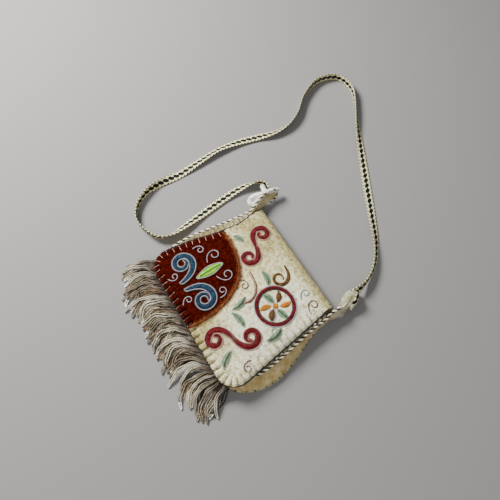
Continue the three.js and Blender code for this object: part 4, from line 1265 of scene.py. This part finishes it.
def makeFringe():
    line = headingLine()
    strands = {shade: [] for shade in fringeShades}
    tips = []
    for tuft in range(fringe["tufts"]):
        swing = draw.uniform(-fringe["swing"], fringe["swing"])
        tuftReach = fringe["length"] + fringe["uneven"] * draw.uniform(-1, 1)
        for k in range(fringe["loopsEach"] + fringe["under"]):
            # the last loops of each tuft are the deep layer, dark yarn standing as painted shadow under the
            # others
            under = k >= fringe["loopsEach"]
            if under:
                offset = draw.uniform(-0.5, 0.5)
            else:
                offset = (k + draw.uniform(0, 1)) / fringe["loopsEach"] - 0.5
            s = min(max((tuft + 0.5 + fringe["overlap"] * offset) / fringe["tufts"], 0), 1)
            root = line[min(int(s * len(line)), len(line) - 1)]
            first = between(rootBearing, s) + swing / 2
            first += draw.uniform(-fringe["rootStray"], fringe["rootStray"])
            last = between(tipBearing, s) + swing - fringe["fan"] * offset
            last += draw.uniform(-fringe["tipStray"], fringe["tipStray"])
            reach = tuftReach * draw.uniform(0.8, 1.08) * between(fringeLong, s)
            reach *= fringe["underShare"] if under else 1
            shade = "deep" if under else draw.choice(["grey", "grey", "brown", "pale"])
            path = fringeLoop(root, first, last, reach, draw.uniform(*fringeShades[shade]["heap"]))
            pitch = fringe["pitch"] * draw.uniform(0.9, 1.15)
            start = draw.uniform(0, tau)
            strands[shade] += twisted(smoothLine(path, 1), fringe["away"], pitch, step=2, start=start)
            if draw.random() < whiteTips["share"] and not under:
                middle = len(path) // 2
                tip = path[middle - whiteTips["steps"]:middle + whiteTips["steps"] + 1]
                tips += twisted(tip, fringe["away"], whiteTips["pitch"], plies=3)
    for shade, look in fringeShades.items():
        material = yarnMaterial(f"{shade}Yarn", look["stops"], paintedTuckShade=paintedTuckShade)
        nodes = ["fringe"] if shade == "grey" else []
        threads(f"fringe_{shade}", strands[shade], fringe["ply"], material, "grey_yarn", *nodes)
    threads("fringe_white_tips", tips, whiteTips["ply"], whiteYarn, "white_yarn")
    # the heading tape is dark brown, partly as painted shade under the flap's edge
    tape = twisted([Vector((p.x, p.y, fringe["top"])) for p in line[::3]],
                   fringeHeading["away"], fringeHeading["pitch"])
    threads("fringe_heading", tape, fringeHeading["ply"], darkThread, "grey_yarn")


makeFringe()
print("fringe made")


# White yarn knotted round the strap's end at the left ear, in soft bundles with one loop
def makeTie():
    tie = {"away": 3, "lastShare": 0.7, "radius": 1.6, "pitch": 26, "plies": 6}
    routes = [
        [(-156, 144, 12), (-150, 142, 17), (-143, 140, 20), (-137, 141, 21), (-135, 148, 21),
         (-134, 156, 19), (-132, 164, 15)],
        [(-137, 141, 22), (-139, 130, 20), (-143, 121, 18), (-145, 113, 15), (-142, 106.5, 12),
         (-136, 105, 11)],
        [(-136, 142, 17), (-135, 131, 18), (-134, 121, 17), (-133, 112, 14), (-131, 106, 11)],
    ]
    strands = []
    for k, route in enumerate(routes):
        path = [p for p, _ in throughPoints([Vector(p) for p in route], 8)]
        away = tie["away"] * (tie["lastShare"] if k == 2 else 1)
        strands += twisted(path, away, tie["pitch"], plies=tie["plies"], step=1.5, start=k)
    threads("yarn_tie_white", strands, tie["radius"], whiteYarn, "white_yarn", "yarn_tie", corners=2)


makeTie()
print("yarn tie made")


# Right ear, rolled over the strap's sewn end: a soft white fold, full near its tip
def makeEarFold():
    roll = {"around": 28, "crease": 0.22, "creaseAt": 1.2, "creaseWidth": 0.25, "lump": 0.9, "lumpSize": 7,
            "lumpFull": 6}
    middle = [(121, 110, 12), (118.5, 122, 12.5), (115.5, 134, 12), (112.5, 146, 12), (109.5, 157, 12),
              (106.5, 166, 11.5), (105.5, 171, 11)]
    wide = [2.5, 5, 9, 12.5, 12.5, 8, 1]
    tall = [3, 5, 7.5, 9.5, 9, 5.5, 1]
    line = throughPoints([Vector(p) for p in middle], 8)
    last = len(line) - 1

    def place(u, v):
        k = round(v * last)
        centre, spot = line[k]
        before = min(int(spot), len(middle) - 2)
        share = ease(spot - before)
        along = (line[min(k + 1, last)][0] - line[max(k - 1, 0)][0]).normalized()
        aside = along.cross(up).normalized()
        angle = tau * (round(u * roll["around"]) % roll["around"]) / roll["around"]
        half = lerp(wide[before], wide[before + 1], share)
        high = lerp(tall[before], tall[before + 1], share)
        dent = math.exp(-((angle - roll["creaseAt"]) / roll["creaseWidth"]) ** 2)
        crease = 1 - roll["crease"] * dent * math.sin(math.pi * v)
        skin = centre + (aside * half * math.cos(angle) + up * high * math.sin(angle)) * crease
        lump = roll["lump"] * wobble(*skin, roll["lumpSize"]) * min(half / roll["lumpFull"], 1)
        return skin + (aside * math.cos(angle) + up * math.sin(angle)) * lump

    gather = bmesh.new()
    sweepInto(gather, roll["around"], last, place)
    whiteFelt = feltMaterial("whiteFelt", [(0.38, "#726b48"), (0.5, "#a7a481"), (0.62, "#c2bfa8")],
                             mottle=9, relief=2)
    piece = finishMesh("felt_ear_fold", gather, whiteFelt, "cream_felt")


makeEarFold()
print("ear fold made")


# Sewn end of the strap on the right ear, with its warp threads frayed out
def makeStrapEnd():
    end = {"width": 11, "edge": 0.5, "frays": 18, "frayBand": 4, "frayLength": (4, 9), "frayInside": 2,
           "frayDroop": 1.2, "frayRadius": 0.6}
    route = [(111.5, 166, 17), (116.5, 160, 19), (120.5, 154, 18), (123.5, 147, 15)]
    points = [p for p, _ in throughPoints([Vector(p) for p in route], 8)]
    across = Vector((0.5, 0.25, -0.83)).normalized()
    last = len(points) - 1

    def place(u, v):
        return points[round(v * last)] + across * end["width"] * (u - 0.5)

    bm = gridSheet(8, last, place)
    uv = bm.loops.layers.uv.new("weave")
    way = (points[-1] - points[0]).normalized()
    for face in bm.faces:
        for loop in face.loops:
            off = loop.vert.co - points[0] * mm
            loop[uv].uv = (off.dot(way), off.dot(across))
    piece = finishMesh("strap_sewn_end", bm, wovenBand, "strap_weave")
    thicken(piece, strapBand["thickness"], end["edge"])
    frays = []
    for _ in range(end["frays"]):
        start = points[-1] + across * draw.uniform(-end["frayBand"], end["frayBand"])
        way = Vector((draw.uniform(-0.3, 0.5), -1, draw.uniform(-0.4, 0.1))).normalized()
        length = draw.uniform(*end["frayLength"])
        tip = start + way * length - up * end["frayDroop"]
        frays.append([start - way * end["frayInside"], start + way * length / 2, tip])
    threads("strap_fray", frays, end["frayRadius"], creamThread, "strap_weave")


makeStrapEnd()
print("strap's sewn end made")


# Dark overcast stitches where the gusset meets the back panel, and a fine seam line along the bottom
def makeOvercast():
    overcast = {"pitch": 14, "uneven": 6, "lean": 1.5, "radius": 0.6, "inset": 0.2, "z": 4.9, "start": 10,
                "end": 12, "lineBelow": -96, "lineRadius": 0.4}
    # out from the seam, up and how much of the lean, from a stitch's upper end to its lower
    stations = [(-2.6, 3.6, 1), (-0.2, 2.4, 0.5), (0.8, 0.2, 0), (0.6, -2, 0)]
    outer = resample(outlineLine(backPanel, overcast["inset"], overcast["z"]), 1)
    ticks = []
    run = overcast["start"]
    while run < len(outer) - overcast["end"]:
        here = outer[int(run)]
        heading = (outer[int(run) + 1] - here).normalized()
        outward = Vector((heading.y, -heading.x, 0))
        lean = heading * draw.uniform(-overcast["lean"], overcast["lean"])
        ticks.append([here + outward * out + up * rise + lean * share for out, rise, share in stations])
        run += overcast["pitch"] + overcast["uneven"] * draw.uniform(-1, 1)
    threads("overcast_stitches", ticks, overcast["radius"], darkThread, "dark_cord")
    bottom = [p for p in outer if p.y < overcast["lineBelow"]]
    threads("back_seam_line", [smoothLine(bottom[::2], 1)], overcast["lineRadius"], darkThread, "dark_cord")


makeOvercast()
print("overcast stitches made")


# Floor and soft studio light
stage = {
    "floor": 30, "sky": 0.38,
    "key": {"place": (-1.25, -0.3, 1.05), "size": 0.6, "watts": 72},
    "fill": {"place": (0.9, -0.9, 1.4), "size": 1.4, "watts": 11},
}


# Matte painted floor: pale and even, with no shine
def floorMaterial():
    material, tree = newMaterial("paleFloor")
    shader = addNode(tree, "ShaderNodeBsdfPrincipled", {
        "Base Color": linear("#888683"), "Roughness": 0.95, "Specular IOR Level": 0.1})
    addNode(tree, "ShaderNodeOutputMaterial", {"Surface": shader.outputs[0]})
    return material


bm = bmesh.new()
bmesh.ops.create_grid(bm, x_segments=2, y_segments=2, size=stage["floor"] / 2)
mesh = bpy.data.meshes.new("floor")
bm.to_mesh(mesh)
bm.free()
mesh.materials.append(floorMaterial())
floor = addObject("floor", mesh)

for name in ("key", "fill"):
    lamp = bpy.data.lights.new(name, "AREA")
    lamp.energy = stage[name]["watts"]
    lamp.shape = "DISK"
    lamp.size = stage[name]["size"]
    aim(addObject(name, lamp), stage[name]["place"], (0, 0, 0))
world = bpy.data.worlds.new("studio")
bpy.context.scene.world = world
world.use_nodes = True
backdrop = world.node_tree.nodes["Background"]
backdrop.inputs["Color"].default_value = linear("#dfe3e8")
backdrop.inputs["Strength"].default_value = stage["sky"]
print("light set")
